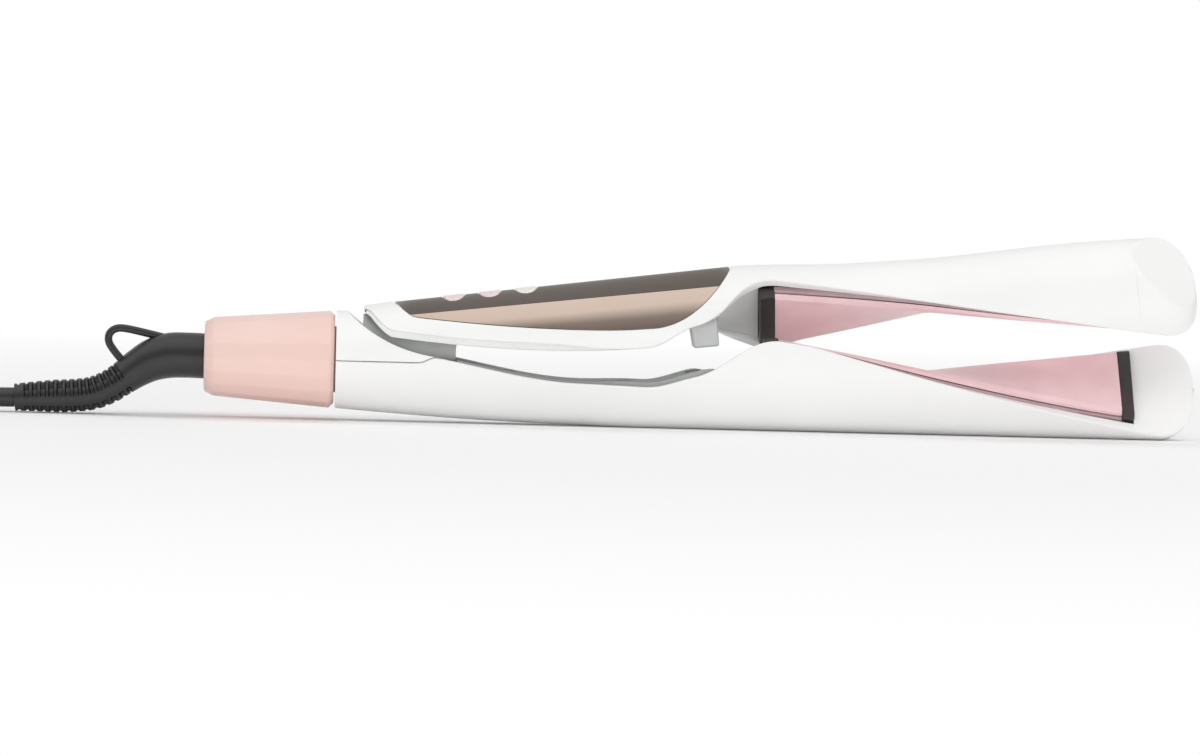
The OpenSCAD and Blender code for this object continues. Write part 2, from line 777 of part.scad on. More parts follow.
// Easy S between two points, level at both ends
function ease(a, b, steps) = [for (k = [0:steps]) let (t = k / steps, f = t * t * (3 - 2 * t))
    [mix(a.x, b.x, t), mix(a.y, b.y, f), mix(a.z, b.z, f)]];

module cord() {
    low = [hank_x, -hank_bend, cord_d / 2];
    high = [hank_x, -hank_bend, hank_top - cord_d / 2];
    color(rubber) {
        tube(ease([lead_x0, 0, lead_z0], low, 9), cord_d / 2, 10);
        tube(concat(ease(high, [plug_x0 + 3, plug_y, plug_z], 10), [[plug_x0 + 0.05, plug_y, plug_z]]),
            cord_d / 2, 10);
    }
}

module stadium(r) {
    hull() for (x = [hank_x - hank_run, hank_x]) translate([x, 0]) circle(r);
}

module cord_coil() {
    color(rubber) linear_extrude(hank_top) difference() {
        stadium(hank_bend + cord_d / 2);
        stadium(hank_bend - cord_d / 2);
    }
}

module coil_tie() {
    band = 6;
    room = 0.3;
    strap = 1.2;
    inner = cord_d / 2 + room;
    color(black) translate([tie_x, hank_bend, 0]) difference() {
        box([-band / 2, -inner - strap, 0], [band / 2, inner + strap, hank_top + strap]);
        box([-band, -inner, -1], [band, inner, hank_top + 0.05]);
    }
}

module plug_place() {
    translate([plug_x0, plug_y, plug_z]) rotate([0, 0, 180]) children();
}

module plug() {
    h = plug_half_h;
    color(black) plug_place() difference() {
        union() {
            rotate([0, 90, 0]) cylinder(r1 = 4.6, r2 = h, h = 12);
            box([11, -12, -h], [plug_len, 12, h]);
            for (side = [-1, 1]) rod_x(11, plug_len, h, 0, side * 12);
        }
        for (side = [-1, 1]) rod_x(plug_len - 8, plug_len + 1, pin_root_r, 0, side * plug_pin_pitch / 2);
    }
}

module plug_pins() {
    round_x = plug_len + plug_pin_len - plug_pin_d / 2;
    color(steel) plug_place() for (side = [-1, 1]) {
        y = side * plug_pin_pitch / 2;
        rod_x(plug_len - 8, plug_len + tiny, pin_root_r, 0, y);
        rod_x(plug_len, round_x, plug_pin_d / 2, 0, y);
        translate([round_x, y, 0]) sphere(r = plug_pin_d / 2);
    }
}

lower_casing();
lower_posts();
rear_cover();
hinge_cover();
lower_inner_cover();
lower_tip();
lower_plate();
lower_heater();
lower_plate_carrier();
lower_plate_end_rear();
lower_plate_end_front();
lower_plate_cushions();
hinge_bracket();
hinge_pin();
bracket_screws();
opening_spring();
power_board();
cord_terminal();
collar_bush();
cover_screws();
upper_casing();
upper_posts();
upper_inner_cover();
upper_tip();
control_panel();
control_board();
board_screws();
upper_hinge_arm();
upper_plate();
upper_heater();
upper_plate_carrier();
upper_plate_end_rear();
upper_plate_end_front();
upper_plate_cushions();
thermal_fuse();
power_button();
plus_button();
minus_button();
lock_collar();
lock_bolt();
swivel_barrel();
strain_relief();
hanging_loop();
cord();
cord_coil();
coil_tie();
plug();
plug_pins();
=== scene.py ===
import math
import bpy
import numpy as np
from mathutils import Matrix, Vector


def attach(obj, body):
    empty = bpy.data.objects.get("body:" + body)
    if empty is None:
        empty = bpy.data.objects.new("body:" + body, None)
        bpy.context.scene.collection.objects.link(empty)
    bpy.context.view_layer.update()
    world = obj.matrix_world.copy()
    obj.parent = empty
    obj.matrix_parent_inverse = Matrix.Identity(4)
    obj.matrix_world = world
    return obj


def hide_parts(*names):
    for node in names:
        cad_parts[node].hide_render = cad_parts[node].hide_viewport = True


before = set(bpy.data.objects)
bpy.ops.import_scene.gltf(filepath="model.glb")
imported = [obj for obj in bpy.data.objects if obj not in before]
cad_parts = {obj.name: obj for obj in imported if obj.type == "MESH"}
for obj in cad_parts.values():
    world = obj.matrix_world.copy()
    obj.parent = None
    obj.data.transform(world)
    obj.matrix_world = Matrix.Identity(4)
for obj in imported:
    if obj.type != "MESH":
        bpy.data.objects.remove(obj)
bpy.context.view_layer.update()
scene = bpy.context.scene
print("frame loaded:", len(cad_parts), "nodes")

# Camera: low, square to the tool's side, rolled a little so that the tool runs downhill to the right
view = {
    "target": (-0.0915, 0.0, 0.0150),
    "distance": 1.73,
    "azimuth": -2.7,           # degrees to the right of square on
    "elevation": 2.5,
    "roll": 1.56,
    "metresAcross": 0.372,     # width of the frame at the tool
}


def makeCamera(s):
    # The camera looks along a line at an azimuth and an elevation, then turns about that line by the roll
    a, e, roll = (math.radians(s[k]) for k in ("azimuth", "elevation", "roll"))
    back = Vector((math.sin(a) * math.cos(e), -math.cos(a) * math.cos(e), math.sin(e)))
    level = Vector((math.cos(a), math.sin(a), 0))
    upright = back.cross(level)
    right = level * math.cos(roll) + upright * math.sin(roll)
    up = upright * math.cos(roll) - level * math.sin(roll)
    data = bpy.data.cameras.new("sideCamera")
    data.sensor_width = 36
    data.lens = 36 * s["distance"] / s["metresAcross"]
    data.clip_start, data.clip_end = 0.05, 20
    camera = bpy.data.objects.new("sideCamera", data)
    turn = Matrix((right, up, back)).transposed()
    camera.matrix_world = Matrix.Translation(Vector(s["target"]) + back * s["distance"]) @ turn.to_4x4()
    scene.collection.objects.link(camera)
    scene.camera = camera
    print("camera", tuple(round(v, 3) for v in camera.location), "lens", round(data.lens, 1))


makeCamera(view)


def linear(code):
    # sRGB hex to linear light
    c = np.array([int(code[i:i + 2], 16) for i in (1, 3, 5)]) / 255
    return (*np.where(c <= 0.04045, c / 12.92, ((c + 0.055) / 1.055) ** 2.4).tolist(), 1.0)


def addNode(tree, kind, settings=None, links=None):
    # A setting goes to the input of that name, or else to the node's own property
    node = tree.nodes.new("ShaderNode" + kind)
    for key, value in (settings or {}).items():
        if key in node.inputs:
            node.inputs[key].default_value = value
        else:
            setattr(node, key, value)
    for key, socket in (links or {}).items():
        tree.links.new(socket, node.inputs[key])
    return node


def emptyTree(holder):
    holder.use_nodes = True
    holder.node_tree.nodes.clear()
    return holder.node_tree


def makeFinish(name, tone0, tone1, rough0, rough1, blotchMm, grainMm, bump, more):
    # Two tones mixed by a soft blotch, and a fine grain that both the bump and the roughness follow
    darkest, lightest = 0.3, 0.7   # nearly all of the noise lies between these
    material = bpy.data.materials.new(name)
    tree = emptyTree(material)
    where = {"Vector": addNode(tree, "TexCoord").outputs["Object"]}
    blotch = addNode(tree, "TexNoise", {"Scale": 1000 / blotchMm, "Detail": 2.0}, where)
    grain = addNode(tree, "TexNoise", {"Scale": 1000 / grainMm, "Detail": 4.0, "Roughness": 0.6}, where)
    tone = addNode(tree, "ValToRGB", None, {"Fac": blotch.outputs["Fac"]})
    for stop, place, code in zip(tone.color_ramp.elements, (darkest, lightest), (tone0, tone1)):
        stop.position, stop.color = place, linear(code)
    gloss = addNode(tree, "MapRange", {"From Min": darkest, "From Max": lightest,
                                       "To Min": rough0, "To Max": rough1}, {"Value": grain.outputs["Fac"]})
    dents = addNode(tree, "Bump", {"Strength": bump, "Distance": grainMm / 4000},
                    {"Height": grain.outputs["Fac"]})
    shader = addNode(tree, "BsdfPrincipled", {"IOR": 1.5, "Coat Roughness": 0.05, **more},
                     {"Base Color": tone.outputs["Color"], "Roughness": gloss.outputs["Result"],
                      "Normal": dents.outputs["Normal"]})
    addNode(tree, "OutputMaterial", None, {"Surface": shader.outputs["BSDF"]})
    return material


# Name: two tones, lowest and highest roughness, blotch and grain in millimetres, bump, and shader settings
finishes = {
    # High-gloss injection-moulded ABS: bright, faint flow marks, a clear but soft reflection
    "whiteAbs": ("#f4f4f3", "#f1f1f0", 0.29, 0.33, 40, 2.2, 0.004, {"IOR": 1.54}),
    # The same plastic, greyer, for the set-back lip: painted shade under the overhanging skin
    "paleAbs": ("#e9e9e8", "#e5e5e4", 0.3, 0.36, 40, 2.2, 0.004, {"IOR": 1.54}),
    # Spark-eroded polycarbonate blend: satin grey with a fine even grain
    "greyPolycarbonate": ("#abaeaa", "#a3a6a2", 0.42, 0.52, 12, 0.5, 0.12, {"IOR": 1.58}),
    # The same blend, lighter, for the neck and the closing tab: painted light that offsets the shade they sit
    # in
    "palePolycarbonate": ("#dcdedd", "#d5d7d6", 0.4, 0.5, 12, 0.5, 0.1, {"IOR": 1.58}),
    # Sprayed tourmaline ceramic on aluminium: rose, silky, with a fine sparkle from the spray
    "roseCeramic": ("#f1cfd2", "#ebc6ca", 0.29, 0.38, 9, 0.4, 0.06, {"IOR": 1.5, "Coat Weight": 0.12}),
    # The same rose, darker, for the plates' flanks: painted shade
    "roseEdge": ("#b99da1", "#ae9297", 0.36, 0.46, 6, 0.4, 0.05, {"IOR": 1.6}),
    # Glass-filled nylon: near black, dry, with the fibres' grain; the same black is painted shade in the
    # plates' and the panel's grooves
    "blackNylon": ("#2c2725", "#221e1d", 0.38, 0.5, 4, 0.45, 0.15, {"IOR": 1.7}),
    # Gloss ABS coloured through: pale blush pink
    "blushAbs": ("#f2d3ca", "#efcdc4", 0.2, 0.27, 30, 2, 0.02, {"IOR": 1.54, "Coat Weight": 0.2}),
    # Metallised polycarbonate film: champagne bronze mirror
    "bronzeMirror": ("#dcc8ba", "#d5c0b0", 0.1, 0.14, 60, 1.5, 0.01, {"Metallic": 1.0}),
    # The same film, darker, for the top: a painted dark reflection
    "bronzeTopPaintedReflection": ("#7d736c", "#756b64", 0.16, 0.2, 60, 1.5, 0.01, {"Metallic": 1.0}),
    # Pearl-filled ABS key tops
    "pinkPearl": ("#f1dcdd", "#ead3d6", 0.2, 0.26, 1.5, 0.25, 0.05, {"Coat Weight": 0.4}),
    "creamPearl": ("#f2f0ea", "#e8e5dd", 0.2, 0.26, 1.5, 0.25, 0.05, {"Coat Weight": 0.4}),
    # Soft PVC: charcoal, satin, a faint leathery skin
    "charcoalPvc": ("#292829", "#242324", 0.29, 0.36, 8, 0.6, 0.1, {"IOR": 1.62}),
    # Zinc-plated pressed steel, lightly drawn
    "zincSteel": ("#c3c5c8", "#a9adb3", 0.28, 0.4, 2.5, 0.5, 0.08, {"Metallic": 1.0}),
    # Nickel-plated brass pins
    "nickelBrass": ("#cfcabd", "#bdb7a8", 0.18, 0.26, 3, 0.6, 0.05, {"Metallic": 1.0}),
    # Solder mask on glass fibre board
    "greenMask": ("#2f6b4a", "#28593f", 0.28, 0.36, 2, 0.8, 0.1, {"Coat Weight": 0.3}),
    # Unglazed alumina and thermoset, matt off-white
    "creamCeramic": ("#ece5dc", "#e0d8cc", 0.55, 0.7, 3, 0.35, 0.15, {}),
    # Translucent grey silicone rubber
    "greySilicone": ("#b9bcb9", "#adb0ad", 0.5, 0.6, 5, 0.6, 0.08, {"IOR": 1.41}),
}
materials = {name: makeFinish(name, *row) for name, row in finishes.items()}
print("materials:", len(materials))


def makeMesh(name, points, faces, looks, lookOf=None, crease=36):
    # Points in millimetres and blocks of faces; turned inside out if the enclosed volume is negative
    points = np.asarray(points, float).reshape(-1, 3)
    blocks = [np.asarray(f, np.int64) for f in (faces if isinstance(faces, list) else [faces])]
    volume = 0.0
    for block in blocks:
        for k in range(1, block.shape[1] - 1):
            a, b, c = points[block[:, 0]], points[block[:, k]], points[block[:, k + 1]]
            volume += float(np.einsum("ij,ij->i", a, np.cross(b, c)).sum())
    if volume < 0:
        blocks = [block[:, ::-1] for block in blocks]
    counts = np.concatenate([np.full(len(block), block.shape[1]) for block in blocks])
    mesh = bpy.data.meshes.new(name)
    mesh.vertices.add(len(points))
    mesh.vertices.foreach_set("co", (points / 1000).astype(np.float32).ravel())
    mesh.loops.add(int(counts.sum()))
    mesh.loops.foreach_set("vertex_index", np.concatenate([b.ravel() for b in blocks]).astype(np.int32))
    mesh.polygons.add(len(counts))
    mesh.polygons.foreach_set("loop_start", (np.cumsum(counts) - counts).astype(np.int32))
    for look in looks:
        mesh.materials.append(materials[look])
    if lookOf is not None:
        mesh.polygons.foreach_set("material_index", np.asarray(lookOf, np.int32))
    mesh.update(calc_edges=True)
    mesh.validate()
    mesh.shade_smooth()
    mesh.set_sharp_from_angle(angle=math.radians(crease))
    return mesh


def addPiece(name, points, faces, body, slot, looks, replaces=(), lookOf=None, crease=36):
    looks = [looks] if isinstance(looks, str) else looks
    piece = bpy.data.objects.new(name, makeMesh(name, points, faces, looks, lookOf, crease))
    scene.collection.objects.link(piece)
    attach(piece, body)
    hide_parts(*replaces)
    return piece


def loftFaces(stations, count, capped=True):
    # Quads between neighbouring rings; each end is closed by strips from point i to point count-1-i
    i, j = np.meshgrid(np.arange(stations - 1), np.arange(count), indexing="ij")
    a, b = i * count + j, i * count + (j + 1) % count
    sides = np.stack([a, b, b + count, a + count], -1).reshape(-1, 4)
    if not capped:
        return sides
    k = np.arange(count // 2 - 1)
    cap = np.stack([k, k + 1, count - 2 - k, count - 1 - k], -1)
    return np.concatenate([sides, cap[:, ::-1], cap + (stations - 1) * count])


def loftPiece(name, rings, *rest, **more):
    return addPiece(name, rings, loftFaces(*rings.shape[:2]), *rest, **more)


def softenEdges(piece, width, segments=3, angle=40):
    # Rounds the piece's sharp edges by a width in millimetres
    bevel = piece.modifiers.new("edges", "BEVEL")
    bevel.width, bevel.segments = width / 1000, segments
    bevel.limit_method, bevel.angle_limit = "ANGLE", math.radians(angle)
    bevel.harden_normals = True


def readAll(items, key, kind, width=1):
    values = np.empty(width * len(items), kind)
    items.foreach_get(key, values)
    return values


def markFacet(piece, start, normal):
    # Sharp edges where faces of the plane through start meet the others
    mesh = piece.data
    points = readAll(mesh.vertices, "co", np.float32, 3).reshape(-1, 3)
    on = np.abs((points * 1000 - start) @ normal) < 0.004
    starts = readAll(mesh.polygons, "loop_start", np.int32)
    flat = np.minimum.reduceat(on[readAll(mesh.loops, "vertex_index", np.int32)].astype(int), starts)
    counts = np.diff(np.append(starts, len(mesh.loops)))
    edges = readAll(mesh.loops, "edge_index", np.int32)
    flats = np.bincount(edges, np.repeat(flat, counts), len(mesh.edges))
    sharp = readAll(mesh.edges, "use_edge_sharp", bool)
    mesh.edges.foreach_set("use_edge_sharp", sharp | (flats == 1))


def carve(piece, cutters, crease=36):
    # Takes the cutters' volumes out of the piece, and keeps the result as its mesh
    for cutter in cutters:
        step = piece.modifiers.new("carve", "BOOLEAN")
        step.operation, step.solver, step.object = "DIFFERENCE", "EXACT", cutter
    carved = bpy.data.meshes.new_from_object(piece.evaluated_get(bpy.context.evaluated_depsgraph_get()))
    piece.modifiers.clear()
    old, piece.data = piece.data, carved
    bpy.data.meshes.remove(old)
    carved.name = piece.name
    carved.shade_smooth()
    carved.set_sharp_from_angle(angle=math.radians(crease))
    for cutter in cutters:
        bpy.data.objects.remove(cutter)


def makeCutter(outline, lift):
    # A prism: the outline is repeated at the two ends of the lift
    outline = np.asarray(outline, float)
    rings = np.stack([outline, outline + np.asarray(lift, float)])
    cutter = bpy.data.objects.new("cutter", makeMesh("cutter", rings, loftFaces(2, len(outline)), []))
    scene.collection.objects.link(cutter)
    return cutter


def boxCutter(low, high):
    (x0, y0, z0), (x1, y1, z1) = low, high
    return makeCutter([(x0, y0, z0), (x1, y0, z0), (x1, y1, z0), (x0, y1, z0)], (0, 0, z1 - z0))


def xyz(x, y, z):
    # Coordinates that may differ in shape, as one array of points
    return np.stack(np.broadcast_arrays(x, y, z), -1)


def circle(count):
    # Angles once round, evenly, without the last
    return np.linspace(0, 2 * np.pi, count + 1)[:-1]


# Shape that both arms share, in millimetres: eggs strung along X, cut along the closing plane
arms = {
    "axisZ": 18.6, "rearX": -173.4, "jawX": -41.9, "tipX0": 74.4, "tipX1": 94.2, "noseX": 81.0,
    "halfRear": 15.1, "halfMid": 16.7, "halfTip": 14.8, "handleWall": 2.2, "jawWall": 2.8,
    "pivotX": -141.0, "pivotZ": 24.3, "openAngle": 6.7, "linePitch": 1.7, "seamZ": 18.7,
    "twistRate": 0.815, "twistZeroX": 13.0, "neckX0": -63.0, "neckX1": -36.0, "upperX0": -163.6,
    "rimDrop": 3.2,
}


def ramp(x, start, end):
    # Smooth step from 0 to 1
    t = np.clip((np.asarray(x, float) - start) / (end - start), 0, 1)
    return t * t * (3 - 2 * t)


def band(x, a, b, c, d):
    # 1 from b to c, eased to 0 at a and at d
    return ramp(x, a, b) * (1 - ramp(x, c, d))


def mix(a, b, t):
    return a + (b - a) * t


def lineZ(x):
    # Height of the closing plane: a straight fall towards the tips
    return arms["pivotZ"] - math.tan(math.radians(arms["linePitch"])) * (x - arms["pivotX"])


def centreZ(x):
    # Middle of the lower arm: the collar's axis, eased into the closing plane
    return mix(arms["axisZ"], lineZ(x), ramp(x, arms["rearX"], -120))


def twistAt(x):
    # Turn of the closing plane about X: an even rate over the jaws, eased in along the neck
    a = arms
    return np.radians(a["twistRate"] * (a["twistZeroX"] - x) * ramp(x, a["neckX0"], a["neckX1"]))


def noseAt(x):
    # Superellipse of power 2.4 over the rounded end
    t = np.clip((x - arms["noseX"]) / (arms["tipX1"] - arms["noseX"]), 0, 1)
    return (1 - t ** 2.4) ** (1 / 2.4)


def halfWidth(x):
    # Widens from the collar to the handle, narrows again along the jaws
    a = arms
    return noseAt(x) * (a["halfRear"] + (a["halfMid"] - a["halfRear"]) * ramp(x, a["rearX"], -90)
                        - (a["halfMid"] - a["halfTip"]) * ramp(x, -40, 80))


def depthLow(x):
    # From the middle down to the table, less a rise of the underside towards the collar, as a square
    under = 3.5 * (np.maximum(0, -79 - x) / 93.7) ** 2
    return noseAt(x) * (centreZ(x) - under + 0.35 * ramp(x, -100, -80))


def depthTop(x):
    # From the closing plane up: an even growth along the handle, a dip at the neck, and fuller tips
    return noseAt(x) * (13.2 + 0.7 * ramp(x, -166, -152) + 4.5 * np.clip((x + 152) / 104, 0, 1)
                        - 1.4 * ramp(x, -48, -10) + 2.2 * ramp(x, 4, 65))


def wallAt(x):
    # Thin in the handle, thicker in the jaws
    return mix(arms["handleWall"], arms["jawWall"], ramp(x, -60, arms["jawX"]))


def rimLow(x):
    # Drop of the lower shell's edge: the rear seam, an upturn, a dip along the handle, then the jaws' rim
    drop = (2.8 + 6.6 * ramp(x, -158, -100) - 4.7 * ramp(x, -78, -58)
            - (4.7 - arms["rimDrop"]) * ramp(x, -42, -24))
    return centreZ(x) - mix(arms["seamZ"], lineZ(x) - drop, ramp(x, -147.8, -142.4))


def rimTop(x):
    # Height of the upper shell's edge: two powers that lift it towards the hinge, then the jaws' rim
    rise = (7.4 * (np.maximum(0, -84 - x) / 68) ** 1.8 + 8 * (np.maximum(0, -156 - x) / 8) ** 1.5 - 4.8
            + 6 * ramp(x, -78, -61) + (arms["rimDrop"] - 1.2) * ramp(x, -56, -44))
    return np.minimum(depthTop(x) - 0.6, rise)


def cutAngle(x, off, height, side, upper):
    # Angle round the egg, shrunk by off, at which it meets the closing plane raised by height: the arcsine of
    # the height over the twisted axes' length, less the lag of the twist; side -1 is near
    tw = twistAt(x)
    w = halfWidth(x) - off
    height = height if upper else -height

    def crossing(d):
        q = np.arcsin(np.clip(height / np.hypot(w * np.sin(tw), d * np.cos(tw)), -1, 1))
        lag = np.arctan2(w * np.sin(tw), d * np.cos(tw))
        return q - lag if side > 0 else np.pi - q - lag
    t = crossing(depthTop(x) - off)
    t = np.where(np.sin(t) >= 0, t, crossing(depthLow(x) - off))
    return t + 2 * np.pi if side > 0 and not upper else t


def armPoints(x, off, t, upper):
    # The egg: an ellipse whose upper and lower halves have depths of their own
    d = np.where(np.sin(t) > 0, depthTop(x), depthLow(x)) - off
    return xyz(x, (halfWidth(x) - off) * np.cos(t), (lineZ(x) if upper else centreZ(x)) + d * np.sin(t))


def opened(points):
    # Turns the upper arm about the hinge pin from closed to open
    turn = math.radians(arms["openAngle"])
    c, s = math.cos(turn), math.sin(turn)
    x, z = points[..., 0] - arms["pivotX"], points[..., 2] - arms["pivotZ"]
    return np.stack([arms["pivotX"] + x * c - z * s, points[..., 1], arms["pivotZ"] + x * s + z * c], -1)


def shellRings(x, upper, rim, edge, inner, count=60, steps=6, off=0.0, columns=None, flat=False):
    # Outer skin from the near rim over to the far rim with both rims rounded by edge, then the inner skin back;
    # a flat ring runs back along the closing plane instead
    x = np.asarray(x, float)[:, None]
    rim, off, inner = (np.broadcast_to(np.asarray(v, float).reshape(-1, 1), x.shape) for v in (rim, off, inner))
    turn = np.radians(np.linspace(90, 0, steps + 1))[None, :]
    offs, heights = off + edge * (1 - np.cos(turn)), rim + edge * (1 - np.sin(turn))
    near, far = cutAngle(x, offs, heights, -1, upper), cutAngle(x, offs, heights, 1, upper)
    if columns:
        across, sink = columns(near[:, -1:], far[:, -1:], x)
        across, sink = across[:, 1:-1], sink[:, 1:-1]
    else:
        across, sink = mix(near[:, -1:], far[:, -1:], np.linspace(0, 1, count)[None, 1:-1]), 0
    skin = off + sink
    outer = np.concatenate([armPoints(x, offs, near, upper), armPoints(x, skin, across, upper),
                            armPoints(x, offs[:, ::-1], far[:, ::-1], upper)], 1)
    total = outer.shape[1]
    if flat:
        back = mix(outer[:, -1:], outer[:, :1], np.linspace(0.02, 0.98, total)[None, :, None])
    else:
        t0, t1 = cutAngle(x, inner, rim, 1, upper), cutAngle(x, inner, rim, -1, upper)
        back = armPoints(x, inner, mix(t0, t1, np.linspace(0, 1, total)[None, :]), upper)
    return np.concatenate([outer, back], 1)


def tipStations(count):
    # Even steps up to the nose, then the sine of even angles, so that they crowd where it rounds over
    a = arms
    turn = np.radians(np.linspace(0, 87, count))
    return np.concatenate([np.linspace(a["tipX0"] + 0.03, a["noseX"] - 0.4, 7),
                           a["noseX"] + (a["tipX1"] - a["noseX"]) * np.sin(turn)])


# Lower arm: one moulding from the collar to the tip, flat underneath where it rests
lowerArm = {"edge": 0.7, "tipEdge": 0.9, "step": 1.4}


def makeLowerShell(s):
    # Rings of the egg below the closing plane, pressed flat where they would pass under the table
    a = arms
    x = np.linspace(a["rearX"], a["tipX0"], int((a["tipX0"] - a["rearX"]) / s["step"]))
    body = shellRings(x, False, rimLow(x), s["edge"], wallAt(x))
    tip = shellRings(tipStations(26), False, a["rimDrop"], s["tipEdge"], 0, flat=True)
    rings = np.concatenate([body, tip])
    rings[..., 2] = np.maximum(rings[..., 2], 0)
    loftPiece("lowerShell", rings, "lower_arm", "white_shell", "whiteAbs", ["lower_casing", "lower_tip"])


makeLowerShell(lowerArm)

# Rear cover: upper half of the rear housing, its front edge hollowed by a cylinder across the tool
rearCover = {"cutX": -137.4, "cutZ": 66.4, "cutR": 46.0, "endX": -141.6, "seam": 0.22, "edge": 0.5,
             "columns": 90, "stations": 46, "halvings": 36}


def makeRearCover(s):
    # Rings whose last ones lie on the cylinder; u runs along the tool and v round it
    v = np.linspace(0, 1, s["columns"])[None, :]

    def skin(x, v, off):
        # Egg from the near seam over the top to the far seam
        drop = s["seam"] - rimLow(x)
        top, low = arms["halfRear"] - off, depthLow(x) - off
        t = np.arcsin(drop / np.where(drop > 0, top, low))
        t = mix(np.pi - t, t, v)
        d = np.where(np.sin(t) > 0, top, low)
        return (halfWidth(x) - off) * np.cos(t), centreZ(x) + d * np.sin(t)

    def edgeAt(v, off):
        # Halving: where the skin meets the cylinder
        a, b = np.full(v.shape, arms["rearX"]), np.full(v.shape, s["endX"])
        for _ in range(s["halvings"]):
            m = (a + b) / 2
            past = skin(m, v, off)[1] > s["cutZ"] - np.sqrt(s["cutR"] ** 2 - (m - s["cutX"]) ** 2)
            a, b = np.where(past, a, m), np.where(past, m, b)
        return b
    # Even stations, then five more that round the front edge over
    u = np.concatenate([np.linspace(0, 1, s["stations"]), np.ones(5)])[:, None]
    turn = np.radians(np.concatenate([np.zeros(s["stations"]), np.linspace(18, 90, 5)]))[:, None]
    end = edgeAt(v, 0)
    x = arms["rearX"] + u * (end - arms["rearX"] - s["edge"]) + s["edge"] * np.sin(turn)
    offs = s["edge"] * (1 - np.cos(turn)) + 0 * v
    outer, inner = xyz(x, *skin(x, v, offs)), xyz(x, *skin(x, v, arms["handleWall"]))
    rings = np.concatenate([outer, inner[:, ::-1]], 1)
    loftPiece("rearCover", rings, "lower_arm", "white_shell", "whiteAbs", ["rear_cover"])


makeRearCover(rearCover)
print("lower shell and rear cover")

# Grey arch over the hinge, open at the top where the upper arm swings
hingeArch = {"x0": -165.2, "x1": -136.6, "side": 3.9, "crown": 2.5, "wall": 1.5, "low": 9.0,
             "cutX": -152.0, "cutZ": 28.4, "cutR": 5.0, "cutTop": 42, "cutHalf": 20}


def skinAt(x):
    # How far the upper arm's inner pieces are set in from its skin
    return 0.8 * band(x, -159, -154, -45, -40)


def makeHingeArch(s):
    # Rings of an arc that ends 24 degrees under each side, its top just inside the opened arm
    x = np.linspace(s["x0"], s["x1"], 24)[:, None]
    fall = np.maximum(0, arms["pivotX"] - x) * math.sin(math.radians(arms["openAngle"]))
    top = lineZ(x) + depthTop(x) - skinAt(x) - s["crown"] - fall - centreZ(x)
    t = np.radians(np.linspace(-24, 204, 60))[None, :]

    def arc(off):
        d = np.where(np.sin(t) > 0, top, s["low"]) - off
        return xyz(x, (halfWidth(x) - s["side"] - off) * np.cos(t), centreZ(x) + d * np.sin(t))
    rings = np.concatenate([arc(0), arc(s["wall"])[:, ::-1]], 1)
    piece = loftPiece("hingeArch", rings, "lower_arm", "grey_trim", "greyPolycarbonate", ["hinge_cover"])
    # What is cut away: a quarter round at the rear, level to the front, and all above
    r, near, front = s["cutR"], -s["cutHalf"], s["x1"] + 2
    outline = [(s["cutX"] + r * math.cos(b), near, s["cutZ"] + r + r * math.sin(b))
               for b in np.radians(np.linspace(180, 270, 10))]
    outline += [(front, near, s["cutZ"]), (front, near, s["cutTop"]), (s["cutX"] - r, near, s["cutTop"])]
    carve(piece, [makeCutter(outline, (0, 2 * s["cutHalf"], 0))])


makeHingeArch(hingeArch)

# Grey inner cover of the lower handle, a slab a little proud of the white edge
innerCover = {"x0": -136.3, "x1": -50.0, "thick": 3.2, "rise": 0.5, "room": 0.15, "below": 5, "above": 30,
              "tabX": -59.7, "socket": (5.4, 5.8),
              "screwX": (-119, -84), "hole": 1.6, "headR": 2.9, "headDeep": 2}


def slabRings(x, upper, off, height0, height1, across=14):
    # Four-sided ring whose two long faces are divided evenly from the near edge to the far edge
    x = np.asarray(x, float)[:, None]
    off, height0, height1 = (np.broadcast_to(np.asarray(v, float).reshape(-1, 1), x.shape)
                             for v in (off, height0, height1))
    faces = []
    for height in (height0, height1):
        a = armPoints(x, off, cutAngle(x, off, height, -1, upper), upper)
        b = armPoints(x, off, cutAngle(x, off, height, 1, upper), upper)
        faces.append(mix(a, b, np.linspace(0, 1, across)[None, :, None]))
    return np.concatenate([faces[0], faces[1][:, ::-1]], 1)


def coverRise(x, s):
    # Height above the white edge: a little more towards the neck, where it then dives under
    return s["rise"] + 0.8 * ramp(x, -100, -80) - 2.1 * ramp(x, -60, -54)


def coverTop(x, s):
    # The same as a height over the table
    return centreZ(x) - rimLow(x) + coverRise(x, s)


def makeInnerCover(s):
    # A slab that follows the white edge, less the tab's socket and two holes with seats for screw heads
    x = np.linspace(s["x0"], s["x1"], 70)
    height = rimLow(x) - coverRise(x, s)
    rings = slabRings(x, False, wallAt(x) + s["room"], height, height + s["thick"])
    piece = loftPiece("innerCover", rings, "lower_arm", "grey_trim", "greyPolycarbonate", ["lower_inner_cover"])
    halfX, halfY = s["socket"]
    cutters = [boxCutter((s["tabX"] - halfX, -halfY, s["below"]), (s["tabX"] + halfX, halfY, s["above"]))]
    ring = circle(32)
    for x in s["screwX"]:
        for radius, z in ((s["hole"], s["below"]), (s["headR"], coverTop(x, s) - s["headDeep"])):
            outline = xyz(x + radius * np.cos(ring), radius * np.sin(ring), z)
            cutters.append(makeCutter(outline, (0, 0, s["above"] + 2)))
    carve(piece, cutters)
    softenEdges(piece, 0.35, 2)


makeInnerCover(innerCover)
print("hinge arch and inner cover")

# Upper arm: one moulding from the hinge to the tip, with a seat for the bronze panel
upperArm = {"edge": 0.7, "tipEdge": 0.9, "step": 1.4, "facetX": 76.0, "facetReach": 15.8, "facetTilt": 30.0,
            "lipInset": 0.6, "lipEdge": 0.5, "lipEndX": -82, "panelX0": -154.2, "panelX1": -50.0, "seat": 1.7}


